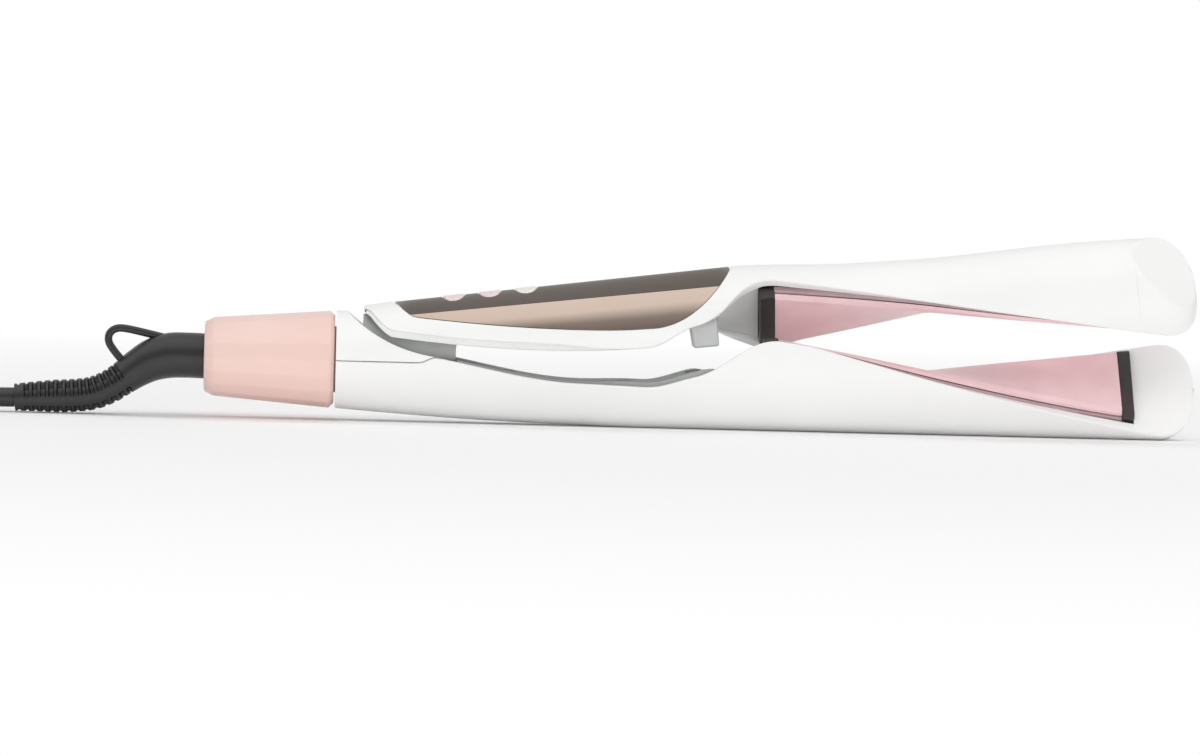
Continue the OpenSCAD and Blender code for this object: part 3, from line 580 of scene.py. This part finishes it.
def panelEdge(x):
    # Height of the panel's lower edge above the closing plane: a boat's sheer, steep at both ends
    return (1.2 + 7.4 * (np.maximum(0, -82 - x) / 64) ** 1.5 + 4 * (np.maximum(0, -148 - x) / 6) ** 1.6
            + 16.9 * (np.maximum(0, x + 76) / 26.3) ** 2)


def lipHeight(x):
    # Height of the set-back band along the handle's lower lip
    return 2.1 * (1 - ramp(x, -112, -84)) + 0.02


def seatAngle(x):
    # Angle round the egg of the seat's edge, a hair outside the panel's
    return np.arcsin(np.minimum(panelEdge(x) - 0.1, depthTop(x) - 0.25) / depthTop(x))


def seatColumns(near, far, x):
    # Angles from rim to rim with the seat's edges on columns of their own, and how deep each column may sink
    edge, wall, x0, x1 = seatAngle(x), 0.012, upperArm["panelX0"], upperArm["panelX1"]
    outside, across = np.linspace(0, 1, 28), np.linspace(0, 1, 44)
    runs = [mix(near, np.pi - edge, outside), mix(np.pi - edge - wall, edge + wall, across),
            mix(edge, far, outside)]
    inside = np.concatenate([np.full(run.shape[1], float(i == 1)) for i, run in enumerate(runs)])
    along = band(x, x0, x0 + 1.5, x1 - 1.5, x1)
    return np.concatenate(runs, 1), upperArm["seat"] * along * inside[None, :]


def makeUpperShell(s):
    # Rings of the egg above the closing plane, with a rounded rear end
    a, edge = arms, s["edge"]
    turn = np.radians([0, 20, 45, 70])
    stations = int((a["tipX0"] - a["upperX0"]) / s["step"])
    x = np.concatenate([a["upperX0"] + edge * (1 - np.cos(turn)),
                        np.linspace(a["upperX0"] + edge, a["tipX0"], stations)])
    off = np.concatenate([edge * (1 - np.sin(turn)), np.zeros(stations)])
    thick = skinAt(x) + wallAt(x)
    rim = np.minimum(rimTop(x) + lipHeight(x), depthTop(x) - 1.2)
    body = shellRings(x, True, rim, edge, thick, off=off, columns=seatColumns)
    tip = shellRings(tipStations(26), True, a["rimDrop"], s["tipEdge"], 0, count=100, flat=True)
    # Points beyond the end facet are moved back onto its plane
    tw = float(twistAt(s["facetX"]))
    back = np.array([0, math.sin(tw), math.cos(tw)])
    start = np.array([s["facetX"], 0, lineZ(s["facetX"])]) + back * s["facetReach"]
    tilt = math.radians(s["facetTilt"])
    normal = back * math.cos(tilt) + np.array([math.sin(tilt), 0, 0])
    beyond = np.maximum(0, (tip - start) @ normal)
    tip = tip - beyond[..., None] * normal
    rings = opened(np.concatenate([body, tip]))
    piece = loftPiece("upperShell", rings, "upper_arm", "white_shell", "whiteAbs",
                      ["upper_casing", "upper_tip"])
    return piece, opened(start), opened(start + normal) - opened(start)


upperShell, facetStart, facetNormal = makeUpperShell(upperArm)


def makeLip(side, s):
    # Band under the handle's outer skin, set back from it, and greyer by painted shade
    x = np.linspace(arms["upperX0"] + 0.4, s["lipEndX"], 70)[:, None]
    low = np.minimum(rimTop(x), depthTop(x) - 2.4)
    high = np.minimum(low + lipHeight(x) + 1.6, depthTop(x) - 1.5)
    turn = np.radians(np.linspace(0, 90, 5))[None, :]
    inset, edge = s["lipInset"], s["lipEdge"]
    offs, heights = inset + edge * (1 - np.cos(turn)), low + edge * (1 - np.sin(turn))
    t = cutAngle(x, offs, heights, side, True)
    t0 = cutAngle(x, inset + 0 * x, high, side, True)
    skirt = mix(t0, t[:, :1], np.linspace(0, 1, 7)[None, :-1])
    outer = np.concatenate([armPoints(x, inset, skirt, True), armPoints(x, offs, t, True)], 1)
    inner = skinAt(x) + wallAt(x) + 0.05
    t1, t2 = cutAngle(x, inner, low, side, True), cutAngle(x, inner, high, side, True)
    back = armPoints(x, inner, mix(t1, t2, np.linspace(0, 1, outer.shape[1])[None, :]), True)
    loftPiece("upperLip" + ("Near" if side < 0 else "Far"), opened(np.concatenate([outer, back], 1)),
              "upper_arm", "white_shell", "paleAbs")


for side in (-1, 1):
    makeLip(side, upperArm)
print("upper shell and lips")

# Bronze panel: a boat-shaped cap with a crease between its top, darkened by a painted reflection, and its
# bright flanks
panel = {"crease": (4.0, 5.2), "thick": 0.9, "x0": -153.9, "x1": -50.2, "groove": 0.012, "power": 1.35,
         "stations": 150, "columns": 22}


def foldAt(x):
    # Height of the crease: under the crown by a drop that grows evenly along the panel
    return depthTop(x) - mix(*panel["crease"], (x - panel["x0"]) / (panel["x1"] - panel["x0"]))


def makePanel(s):
    # Each flank follows the egg up to its crease, and a power curve spans the crown between the creases
    x = mix(s["x0"], s["x1"], np.linspace(0, 1, s["stations"]))[:, None]
    top, w, n = depthTop(x), halfWidth(x), s["columns"]
    low = np.minimum(panelEdge(x) + 0.15, top - 0.12)
    fold = np.clip(foldAt(x), low + 0.02, None)
    v = np.linspace(0, 1, n)[None, :]
    tFold, tLow = np.arcsin(fold / top), np.arcsin(low / top)
    flankT = mix(tLow, np.maximum(tFold - s["groove"], tLow), v)
    yFold = w * np.sqrt(1 - (fold / top) ** 2)
    capY = yFold * (1 - v)
    capZ = top - (top - fold) * np.abs(capY / np.maximum(yFold, 1e-6)) ** s["power"]
    halfY = np.concatenate([w * np.cos(flankT), capY], 1)
    halfZ = np.concatenate([top * np.sin(flankT), capZ], 1)
    y = np.concatenate([-halfY, halfY[:, ::-1][:, 1:]], 1)
    z = np.concatenate([halfZ, halfZ[:, ::-1][:, 1:]], 1)
    # The underside follows the skin, moved towards the arm's middle
    shrink = 1 - s["thick"] / np.hypot(y, z)
    skin, under = xyz(x, y, lineZ(x) + z), xyz(x, y * shrink, lineZ(x) + z * shrink)
    rings = np.concatenate([skin, under[:, ::-1]], 1)
    stations, count = rings.shape[:2]
    faces = loftFaces(stations, count)
    half = skin.shape[1]
    column = np.tile(np.arange(count), stations - 1)
    # The top's faces take the darker film: a painted dark reflection
    paintedDarkTop = (column >= n) & (column < half - n - 1)
    # The faces in the two creases take the black finish: a painted line of shade in the crease
    groove = (column == n - 1) | (column == half - n - 1)
    lookOf = np.concatenate([paintedDarkTop + 2 * groove, np.zeros(len(faces) - len(column), int)])
    return addPiece("controlPanel", opened(rings), faces, "upper_arm", "bronze_panel",
                    ["bronzeMirror", "bronzeTopPaintedReflection", "blackNylon"], ["control_panel"], lookOf, crease=12)


controlPanel = makePanel(panel)

# Keys: oval caps whose tops follow the panel's crown
keys = {
    "x": -135.8, "pitch": 11.25, "length": 6.8, "width": 9.8, "proud": 0.25, "room": 0.3,
    "flangeDrop": 5.1, "flangeOut": 0.8, "flangeThick": 0.9,
    # Rings of the top: share of the half-axes, and how far each lies under the crown
    "grow": (0.02, 0.25, 0.5, 0.7, 0.85, 0.93, 0.975, 1.0, 1.0),
    "sink": (0, 0, 0, 0, 0, 0.03, 0.1, 0.3, 0.6),
    "caps": (("powerKey", "power_button", "button_pink", "pinkPearl"),
             ("plusKey", "plus_button", "button_pink", "pinkPearl"),
             ("minusKey", "minus_button", "button_cream", "creamPearl")),
}


def crownZ(x, y):
    # The panel's surface above the closing plane, near the crown
    top, fold = depthTop(x), foldAt(x)
    fall = np.abs(y / (halfWidth(x) * np.sqrt(1 - (fold / top) ** 2))) ** panel["power"]
    return lineZ(x) + top - (top - fold) * fall


def oval(i, more, z, count, s):
    # Ellipse of key i with its half-axes longer by more
    phi = circle(count)
    x = s["x"] + i * s["pitch"] + (s["length"] / 2 + more) * np.cos(phi)
    return xyz(x, (s["width"] / 2 + more) * np.sin(phi), z)


def makeKey(i, name, node, slot, look, s):
    # Top: rings of a polar grid that round over at the rim, then the skirt, a flange and a flat underside
    cx = s["x"] + i * s["pitch"]
    phi = circle(64)[None]
    grow, sink = (np.array(s[k], float)[:, None] for k in ("grow", "sink"))
    x, y = cx + s["length"] / 2 * grow * np.cos(phi), s["width"] / 2 * grow * np.sin(phi)
    flange = lineZ(cx) + float(depthTop(cx)) - s["flangeDrop"]
    under = flange - s["flangeThick"]
    foot = oval(i, s["flangeOut"], under, 64, s)
    middle = xyz(cx + 0.05 * (foot[:, 0] - cx), 0.05 * foot[:, 1], under)
    lower = np.stack([oval(i, 0, flange, 64, s), oval(i, s["flangeOut"], flange, 64, s), foot, middle])
    rings = np.concatenate([xyz(x, y, crownZ(x, y) + s["proud"] - sink), lower])
    loftPiece(name, opened(rings), node, slot, look, [node])


def keyHoles(s):
    # An oval prism round each key, square to the opened arm
    ends = [opened(np.stack([oval(i, s["room"], z, 48, s) for z in (30.0, 50.0)])) for i in range(3)]
    return [makeCutter(foot, top[0] - foot[0]) for foot, top in ends]


for i, cap in enumerate(keys["caps"]):
    makeKey(i, *cap, keys)
carve(upperShell, keyHoles(keys))
markFacet(upperShell, facetStart, facetNormal)
carve(controlPanel, keyHoles(keys), crease=12)
print("panel and keys")

# Grey inner cover of the upper arm: runs out over the neck, and carries the closing tab
neckCover = {"x0": -125.2, "room": 0.12, "rise": 0.8, "thick": 1.6, "tabX": -59.7, "tabLength": 8.6,
             "tabHalf": 5.0, "tabTop": 3.2, "tabDrop": 6.1, "tabSlope": 0.7}


def makeNeckCover(s):
    # A slab that follows the upper shell's edge
    x = np.linspace(s["x0"], arms["jawX"] - 0.1, 70)
    low = rimTop(x) + s["rise"]
    cover = slabRings(x, True, skinAt(x) + wallAt(x) + s["room"], low, low + s["thick"])
    # The neck cover and the tab below take the lighter grey: painted light
    piece = loftPiece("neckCover", opened(cover), "upper_arm", "grey_trim", "palePolycarbonate",
                      ["upper_inner_cover"])
    softenEdges(piece, 0.25, 2)
    # Tab: an upright block, narrower towards its foot
    h = np.array([s["tabTop"], 2.4, 0, -3, -s["tabDrop"] + 0.02])[:, None]
    fall = (s["tabTop"] - h) / (s["tabTop"] + s["tabDrop"])
    rear, front = -s["tabLength"] / 2 + s["tabSlope"] * fall, s["tabLength"] / 2 + 0 * fall
    side = s["tabHalf"] + 0 * fall
    tab = xyz(s["tabX"] + np.concatenate([rear, front, front, rear], 1),
              np.concatenate([-side, -side, side, side], 1), lineZ(s["tabX"]) + h)
    tabPiece = loftPiece("closingTab", opened(tab), "upper_arm", "grey_trim", "palePolycarbonate")
    softenEdges(tabPiece, 0.8, 4)


makeNeckCover(neckCover)

# Plates and their end pieces: bars that follow the twist, seen from the closing plane
jaws = {"plateX0": -37.2, "plateX1": 70.4, "half": 12.6, "gap": 0.2, "thick": 2.4, "bevel": (1.5, 0.9),
        "skirt": 13.4, "skirtTop": (1.75, 2.45), "skirtFoot": 3.7, "groove": 0.3, "stations": 90,
        "endFoot": ((8.4, -8.0), (10.4, -3.9)), "endTop": 1.3}


def barRings(x, outline, side):
    # The outline's first value runs across the plate, its second away from the plate's own arm
    x = np.asarray(x, float)[:, None]
    outline = np.asarray(outline, float)
    across, away = outline[..., 0], outline[..., 1]
    c, s = np.cos(twistAt(x)), np.sin(twistAt(x))
    return xyz(x, across * c - side * away * s, lineZ(x) - side * away * c - across * s)


def addToArm(side, part, rings, slot, looks, node, **more):
    # Side 1 is the upper arm, which is drawn opened, and -1 the lower one
    arm = "upper" if side > 0 else "lower"
    return loftPiece(arm + part, opened(rings) if side > 0 else rings, arm + "_arm", slot, looks,
                     [arm + node], **more)


def makePlate(side, s):
    # Across: a skirt that reaches the shell's rim, a narrow groove, then the bevelled edge and the face
    face, root, (bx, by) = -s["gap"], -s["gap"] - s["thick"], s["bevel"]
    inset = s["half"] - s["groove"]

    def section(top):
        half = [(s["skirt"], -s["skirtFoot"]), (s["skirt"], -top - s["groove"]),
                (s["skirt"] - s["groove"], -top), (inset, -top), (inset, s["groove"] - top),
                (s["half"], s["groove"] - top),
                (s["half"], face - by), (s["half"] - bx * 0.8, face - by * 0.16), (s["half"] - bx, face)]
        middle = [(v, face) for v in np.linspace(s["half"] - bx, bx - s["half"], 16)[1:-1]]
        outline = half + middle + [(-a, b) for a, b in half[::-1]]
        under = [(v, root) for v in np.linspace(-inset, inset, len(outline) - 2)]
        return np.array(outline + [(-inset, -s["skirtFoot"])] + under + [(inset, -s["skirtFoot"])])
    stations = s["stations"]
    x = np.linspace(s["plateX0"], s["plateX1"], stations)
    first, last = (section(top) for top in s["skirtTop"])
    outline = mix(first, last, ramp(x, s["plateX0"], 12)[:, None, None])
    across = len(first) // 2
    column = np.tile(np.arange(len(first)), stations - 1)
    column = np.minimum(column, np.abs(across - 2 - column))
    # Skirt faces take the darker rose, painted shade on the flanks; the groove's faces take the black, painted
    # shade in the groove
    lookOf = np.select([column < 3, column < 5], [1, 2], 0)
    lookOf = np.concatenate([lookOf, np.zeros(len(first) - 2, int)])
    addToArm(side, "Plate", barRings(x, outline, side), "rose_plate", ["roseCeramic", "roseEdge", "blackNylon"],
             "_plate", lookOf=lookOf, crease=20)


def makeEndPiece(side, where, x0, x1, s):
    # The plate's outline without its skirt, on a narrower foot
    half = [*s["endFoot"], (s["skirt"], -s["skirtFoot"]), (s["skirt"], -s["gap"] - s["endTop"]),
            (s["half"] - 0.5, -s["gap"])]
    outline = half + [(-p, q) for p, q in half[::-1]]
    piece = addToArm(side, "End" + where.title(), barRings(np.linspace(x0, x1, 4), outline, side),
                     "black_plastic", "blackNylon", "_plate_end_" + where)
    softenEdges(piece, 0.3, 2, 25)


for side in (-1, 1):
    makePlate(side, jaws)
    makeEndPiece(side, "rear", arms["jawX"], jaws["plateX0"] - 0.1, jaws)
    makeEndPiece(side, "front", jaws["plateX1"] + 0.1, arms["tipX0"], jaws)
print("neck, plates and end pieces")

# Collar: a cone with soft flats and a chamfer at each end
collar = {
    "x0": -213.9, "length": 40.0, "rear": 12.1, "front": 15.1, "bore": 10.24, "flats": 18, "perFlat": 10,
    "soften": 0.35,
    # Chamfers: how far along from that end, and how far over that end's radius
    "rearLip": ((0, -1.5), (0.25, -1.15), (2.6, 0.05), (3.1, 0.2)),
    "frontLip": ((-1.35, -0.1), (-0.15, -1.3), (0, -1.55)),
}


def makeCollar(s):
    # A lathe profile round the axis; the outside is drawn in towards a polygon, most between its corners
    n, count = s["length"], s["flats"] * s["perFlat"]
    coneX, coneR = s["rearLip"][-1]
    cone = [(v, mix(s["rear"] + coneR, s["front"], (v - coneX) / (n - 4.7)))
            for v in np.linspace(coneX, n - 1.6, 14)[1:]]
    profile = np.array([(0, s["bore"])] + [(v, s["rear"] + r) for v, r in s["rearLip"]] + cone
                       + [(n + v, s["front"] + r) for v, r in s["frontLip"]] + [(n, s["bore"])])
    phi, part = circle(count), 2 * np.pi / s["flats"]
    flat = math.cos(part / 2) / np.cos((phi + part / 2) % part - part / 2)
    flat = 1 - (1 - flat / flat.max()) * (1 - s["soften"])
    r = profile[:, 1:] * np.where(profile[:, 1:] > s["bore"] + 0.1, flat[None, :], 1.0)
    rings = xyz(s["x0"] + profile[:, :1], r * np.sin(phi), arms["axisZ"] + r * np.cos(phi))
    # After the last ring comes the first one again
    faces = loftFaces(len(rings) + 1, count, capped=False) % (len(rings) * count)
    addPiece("lockCollar", rings, faces, "lock_collar", "blush_collar", "blushAbs", ["lock_collar"], crease=60)


makeCollar(collar)


def smoothPath(points, step):
    # Catmull-Rom curve through the points, then cut into equal steps
    p = np.asarray(points, float)
    p = np.concatenate([2 * p[:1] - p[1:2], p, 2 * p[-1:] - p[-2:-1]])
    t = np.linspace(0, 1, 24, endpoint=False)[None, :, None]
    a, b, c, d = (p[k:len(p) - 3 + k][:, None] for k in range(4))
    curve = 0.5 * (2 * b + (c - a) * t + (2 * a - 5 * b + 4 * c - d) * t ** 2
                   + (3 * b - a - 3 * c + d) * t ** 3)
    return evenPath(np.concatenate([curve.reshape(-1, p.shape[1]), p[-2:-1]]), step)


def lengthsAlong(path):
    return np.concatenate([[0], np.cumsum(np.linalg.norm(np.diff(path, axis=0), axis=1))])


def evenPath(curve, step):
    # Points at equal lengths along the curve
    length = lengthsAlong(curve)
    at = np.linspace(0, length[-1], max(2, int(round(length[-1] / step)) + 1))
    return np.stack([np.interp(at, length, curve[:, k]) for k in range(curve.shape[1])], 1)


def tubeRings(path, radius, count):
    # Rings square to the path; their side direction stays level
    d = np.gradient(path, axis=0)
    d /= np.linalg.norm(d, axis=1)[:, None]
    side = np.cross(np.array([0.0, 0, 1]), d)
    lying = np.linalg.norm(side, axis=1) > 0.05
    side = np.where(lying[:, None], side, np.array([0.0, 1, 0]))
    if np.abs(path[:, 1]).max() < 1e-9:
        side = np.tile(np.array([0.0, -1, 0]), (len(path), 1))
    side /= np.linalg.norm(side, axis=1)[:, None]
    up = np.cross(d, side)
    phi = circle(count)[None]
    r = np.asarray(radius, float).reshape(len(path) if np.ndim(radius) else 1, -1)
    r = np.broadcast_to(r, (len(path), count))
    return (path[:, None] + (r * np.cos(phi))[..., None] * side[:, None]
            + (r * np.sin(phi))[..., None] * up[:, None])


def addTube(name, path, radius, count, nodes):
    rings = tubeRings(path, radius, count)
    return loftPiece(name, rings, "cord_swivel", "rubber", "charcoalPvc", nodes, crease=60)


relief = {
    "path": [(-214, 18.6), (-219, 18.7), (-224.5, 18.5), (-229.5, 17.1), (-234, 14.6), (-238.5, 11.4),
             (-243, 8.4), (-248, 6.3), (-254, 5.4), (-260, 5.1), (-266, 4.8), (-272, 4.4)],
    "radius": [7, 7, 7, 6.6, 5.9, 5.3, 5.2, 5.15, 5.1, 5, 4.6, 4.2],
    "ribStart": 27.0, "pitch": 2.55, "slot": 1.4, "depth": 1.8,
    # Bands round the tube, in degrees from the top: tall windows, small ones, and the skin without grooves
    "tall": (22, 30, 84, 92), "small": (128, 134, 150, 156), "smooth": (22, 30, 150, 158),
}


def makeRelief(s):
    # A tube along a smooth path, less windows and ring grooves that repeat at the ribs' pitch
    points = np.array([(x, 0, z, r) for (x, z), r in zip(s["path"], s["radius"])], float)
    curve = smoothPath(points, 0.14)
    path, radius = curve[:, :3], curve[:, 3]
    along = lengthsAlong(path)[:, None]
    beyond, half = along - s["ribStart"], s["slot"] / 2
    nearness = np.abs((beyond + s["pitch"] / 2) % s["pitch"] - s["pitch"] / 2)
    window = (1 - ramp(nearness, half - 0.12, half + 0.18)) * (along > s["ribStart"] - 1)
    window = window * (along < along[-1] - 3)
    groove = 0.35 * ramp(np.cos(2 * np.pi * beyond / s["pitch"]), 0.1, 1) * (along > s["ribStart"])
    lean = np.abs((np.degrees(circle(96))[None] + 90) % 360 - 180)
    tall, small, smooth = (band(lean, *s[k]) for k in ("tall", "small", "smooth"))
    r = radius[:, None] - s["depth"] * window * (tall + 0.8 * small) - 1.2 * groove * (1 - smooth)
    addTube("strainRelief", path, r, 96, ["strain_relief"])


makeRelief(relief)

loop = {
    "path": [(-223, 23.2), (-231, 25), (-238, 26.4), (-241.2, 26.4), (-243.2, 25), (-243.6, 22.8),
             (-242.6, 20.6), (-239.6, 17), (-235.5, 13.6)],
    "radius": 1.2,
}


def makeLoop(s):
    # A thin tube along a smooth path
    path = smoothPath(np.array([(x, 0, z) for x, z in s["path"]]), 0.35)
    addTube("hangingLoop", path, s["radius"], 24, ["hanging_loop"])


makeLoop(loop)

lead = {
    "diameter": 6.0, "start": (-272.1, 0.0, 4.4), "hankX": -324.0, "run": 92.0, "bend": 18.5, "laps": 5,
    "lapRise": 6.15, "end": (-378.0, -2.5, 43.55), "tail": 2.95,
}


def easedPath(start, end, steps):
    # Along X at an even rate; across and up by a curve that is level at both ends
    t = np.linspace(0, 1, steps)[:, None]
    start, end = np.array(start, float), np.array(end, float)
    return start + (end - start) * np.where([True, False, False], t, t * t * (3 - 2 * t))


def hankPath(s):
    # Laps of a racetrack, each a little more than a diameter above the last
    half = s["run"] + math.pi * s["bend"]
    along = np.linspace(0, 2 * half * s["laps"], 120 * s["laps"] + 1)
    d = np.fmod(along, half)
    back = np.fmod(along, 2 * half) >= half
    straight, turn = np.minimum(d, s["run"]), np.maximum(0, d - s["run"]) / s["bend"]
    out = straight + s["bend"] * np.sin(turn)
    x = s["hankX"] - np.where(back, s["run"] - out, out)
    y = s["bend"] * np.cos(turn) * np.where(back, 1, -1)
    z = s["diameter"] / 2 + s["lapRise"] * along / (2 * half)
    return np.stack([x, y, z], 1)


def makeLead(s):
    # A tube from the strain relief, round the hank and on to the plug
    hank = hankPath(s)
    tail = np.array(s["end"]) - [[s["tail"], 0, 0]]
    path = np.concatenate([easedPath(s["start"], hank[0], 26)[:-1], hank[:-1],
                           easedPath(hank[-1], s["end"], 28), tail])
    piece = addTube("mainsLead", path, s["diameter"] / 2, 20, ["cord", "cord_coil"])
    length = float(lengthsAlong(path)[-1]) / 1000
    print("lead length", round(length, 3))
    return piece, path / 1000, length


leadPiece, leadPath, leadLength = makeLead(lead)

# Plug: a soft grip that swells from the lead, ribbed at its neck
plug = {"x0": -381.0, "y": -2.5, "z": 43.55, "length": 34.0, "neck": 4.4, "wide": 18.2, "tall": 6.7,
        "ribDeep": 0.5, "ribEvery": 0.055, "ribs": (0.03, 0.3)}


def makePlug(s):
    # Superellipses whose power grows from 2 to 3 with the swell; u is the share of the length
    u = np.linspace(0, 1, 120)[:, None]
    swell = ramp(u, 0.25, 0.62)
    ribbed = (np.cos(2 * np.pi * u / s["ribEvery"]) > 0.2) * (u < s["ribs"][1]) * (u > s["ribs"][0])
    neck = s["neck"] + 1.2 * ramp(u, 0, 0.25) - s["ribDeep"] * ribbed
    end = np.sqrt(np.clip(1 - (np.maximum(0, u - 0.96) / 0.045) ** 2, 0.1, 1))
    wide, tall = mix(neck, s["wide"], swell) * mix(1, end, 0.2), mix(neck, s["tall"], swell) * mix(1, end, 0.3)
    power = 2 / mix(2.0, 3.0, swell)
    c, d = np.cos(circle(64))[None], np.sin(circle(64))[None]
    y, z = np.sign(c) * np.abs(c) ** power * wide, np.sign(d) * np.abs(d) ** power * tall
    rings = xyz(s["x0"] - s["length"] * u, s["y"] + y, s["z"] + z)
    return loftPiece("mainsPlug", rings, "cord_swivel", "black_plastic", "charcoalPvc", ["plug"], crease=50)


plugPiece = makePlug(plug)
print("collar, relief, loop, lead and plug")

# CAD nodes that stay, each with its own finish
kept = {
    "whiteAbs": ("lower_posts", "upper_posts"),
    "zincSteel": ("hinge_bracket", "hinge_pin", "bracket_screws", "opening_spring", "cover_screws",
                  "board_screws", "upper_hinge_arm", "lock_bolt"),
    "nickelBrass": ("plug_pins",),
    "greenMask": ("power_board", "control_board"),
    "creamCeramic": ("cord_terminal", "collar_bush", "lower_heater", "upper_heater", "thermal_fuse"),
    "blackNylon": ("lower_plate_carrier", "upper_plate_carrier", "swivel_barrel", "coil_tie"),
    "greySilicone": ("lower_plate_cushions", "upper_plate_cushions"),
}
for look, names in kept.items():
    for name in names:
        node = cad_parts[name]
        node.data.materials.clear()
        node.data.materials.append(materials[look])
print("kept nodes:", sum(len(v) for v in kept.values()))

# Studio: even light from all round, soft boxes, and a white floor that keeps the shadow
studio = {
    "ambient": 0.54,
    "boxes": [   # place, aim, width, height in metres, power in watts
        ((-0.35, -0.8, 1.5), (-0.09, 0, 0.02), 1.4, 0.9, 4.4),
        ((0.6, -0.7, 1.2), (0.0, 0, 0.02), 0.9, 0.7, 2.2),
        ((0.0, 0.5, 1.3), (-0.05, 0, 0.02), 1.6, 0.6, 5.0),
        ((-0.09, -1.3, 0.07), (-0.09, 0, 0.0), 1.8, 0.12, 5.0),
    ],
    # What gloss sees, from the horizon behind the camera, over the top, to the one behind the tool
    "around": ((0.0, 0.18), (0.16, 0.34), (0.3, 0.95), (0.5, 1.0), (0.6, 0.64), (0.9, 0.68), (0.98, 1.0)),
    "floor": "#fdfdfd", "floorSize": 6.0, "floorZ": -0.0001, "fadeFrom": 0.25, "fadeTo": 0.7,
}


def rayIs(tree, *kinds):
    # 1 for rays of any of these kinds
    path = addNode(tree, "LightPath")
    total = path.outputs[kinds[0]]
    for kind in kinds[1:]:
        links = {0: total, 1: path.outputs[kind]}
        total = addNode(tree, "Math", {"operation": "MAXIMUM"}, links).outputs[0]
    return total


def makeWorld(s):
    # Even light for all but the rays named here: gloss sees the shades, and the camera sees white
    world = bpy.data.worlds.new("studio")
    tree = emptyTree(world)
    # Angle over the top, 0 at the horizon on the camera's side and 1 at the far one
    way = addNode(tree, "SeparateXYZ", None,
                  {"Vector": addNode(tree, "TexCoord").outputs["Generated"]})
    ahead = addNode(tree, "Math", {"operation": "MULTIPLY"}, {0: way.outputs["Y"]})
    ahead.inputs[1].default_value = -1.0
    angle = addNode(tree, "Math", {"operation": "ARCTAN2"}, {0: way.outputs["Z"], 1: ahead.outputs[0]})
    turn = addNode(tree, "MapRange", {"From Min": 0.0, "From Max": math.pi}, {"Value": angle.outputs[0]})
    shades = addNode(tree, "ValToRGB", None, {"Fac": turn.outputs["Result"]})
    stops = shades.color_ramp.elements
    for i, (place, grey) in enumerate(s["around"]):
        stop = stops[i] if i < 2 else stops.new(place)
        stop.position, stop.color = place, (grey, grey, grey, 1)
    dim = addNode(tree, "Background", {"Color": (1, 1, 1, 1), "Strength": s["ambient"]})
    seen = addNode(tree, "Background", {"Strength": 1.0}, {"Color": shades.outputs["Color"]})
    white = addNode(tree, "Background", {"Color": (1, 1, 1, 1), "Strength": 1.0})
    gloss = addNode(tree, "MixShader", None,
                    {"Fac": rayIs(tree, "Is Glossy Ray"), 1: dim.outputs[0], 2: seen.outputs[0]})
    shown = rayIs(tree, "Is Camera Ray", "Is Transmission Ray")
    both = addNode(tree, "MixShader", None, {"Fac": shown, 1: gloss.outputs[0], 2: white.outputs[0]})
    addNode(tree, "OutputWorld", None, {"Surface": both.outputs[0]})
    scene.world = world


def makeBoxes(s):
    for i, (place, aim, width, height, power) in enumerate(s["boxes"]):
        data = bpy.data.lights.new(f"softBox{i + 1}", "AREA")
        data.shape, data.size, data.size_y, data.energy = "RECTANGLE", width, height, power
        lamp = bpy.data.objects.new(data.name, data)
        lamp.location = place
        lamp.rotation_euler = (Vector(aim) - Vector(place)).to_track_quat("-Z", "Y").to_euler()
        lamp.visible_glossy = False
        scene.collection.objects.link(lamp)


def makeFloor(s):
    # Matt paper that fades into plain white with the distance from the tool
    material = bpy.data.materials.new("paperFloor")
    tree = emptyTree(material)
    place = addNode(tree, "TexCoord").outputs["Object"]
    away = addNode(tree, "VectorMath", {"operation": "LENGTH"}, {0: place})
    fade = addNode(tree, "MapRange", {"From Min": s["fadeFrom"], "From Max": s["fadeTo"]},
                   {"Value": away.outputs["Value"]})
    shown = rayIs(tree, "Is Camera Ray", "Is Glossy Ray", "Is Transmission Ray")
    seen = addNode(tree, "Math", {"operation": "MULTIPLY"}, {0: fade.outputs["Result"], 1: shown})
    tooth = addNode(tree, "TexNoise", {"Scale": 900.0, "Detail": 3.0}, {"Vector": place})   # about 1.1 mm
    bump = addNode(tree, "Bump", {"Strength": 0.03, "Distance": 0.0002}, {"Height": tooth.outputs["Fac"]})
    paper = addNode(tree, "BsdfPrincipled",
                    {"Base Color": linear(s["floor"]), "Roughness": 0.9, "Specular IOR Level": 0.1},
                    {"Normal": bump.outputs["Normal"]})
    glow = addNode(tree, "Emission", {"Color": (1, 1, 1, 1), "Strength": 1.0})
    both = addNode(tree, "MixShader", None,
                   {"Fac": seen.outputs[0], 1: paper.outputs[0], 2: glow.outputs[0]})
    addNode(tree, "OutputMaterial", None, {"Surface": both.outputs[0]})
    half, z = s["floorSize"] / 2, s["floorZ"]
    mesh = bpy.data.meshes.new("paperFloor")
    corners = [(-half, -half, z), (half, -half, z), (half, half, z), (-half, half, z)]
    mesh.from_pydata(corners, [], [(0, 1, 2, 3)])
    mesh.materials.append(material)
    floor = bpy.data.objects.new("paperFloor", mesh)
    scene.collection.objects.link(floor)


makeWorld(studio)
makeBoxes(studio)
makeFloor(studio)
scene.view_settings.view_transform = "Standard"
print("studio")
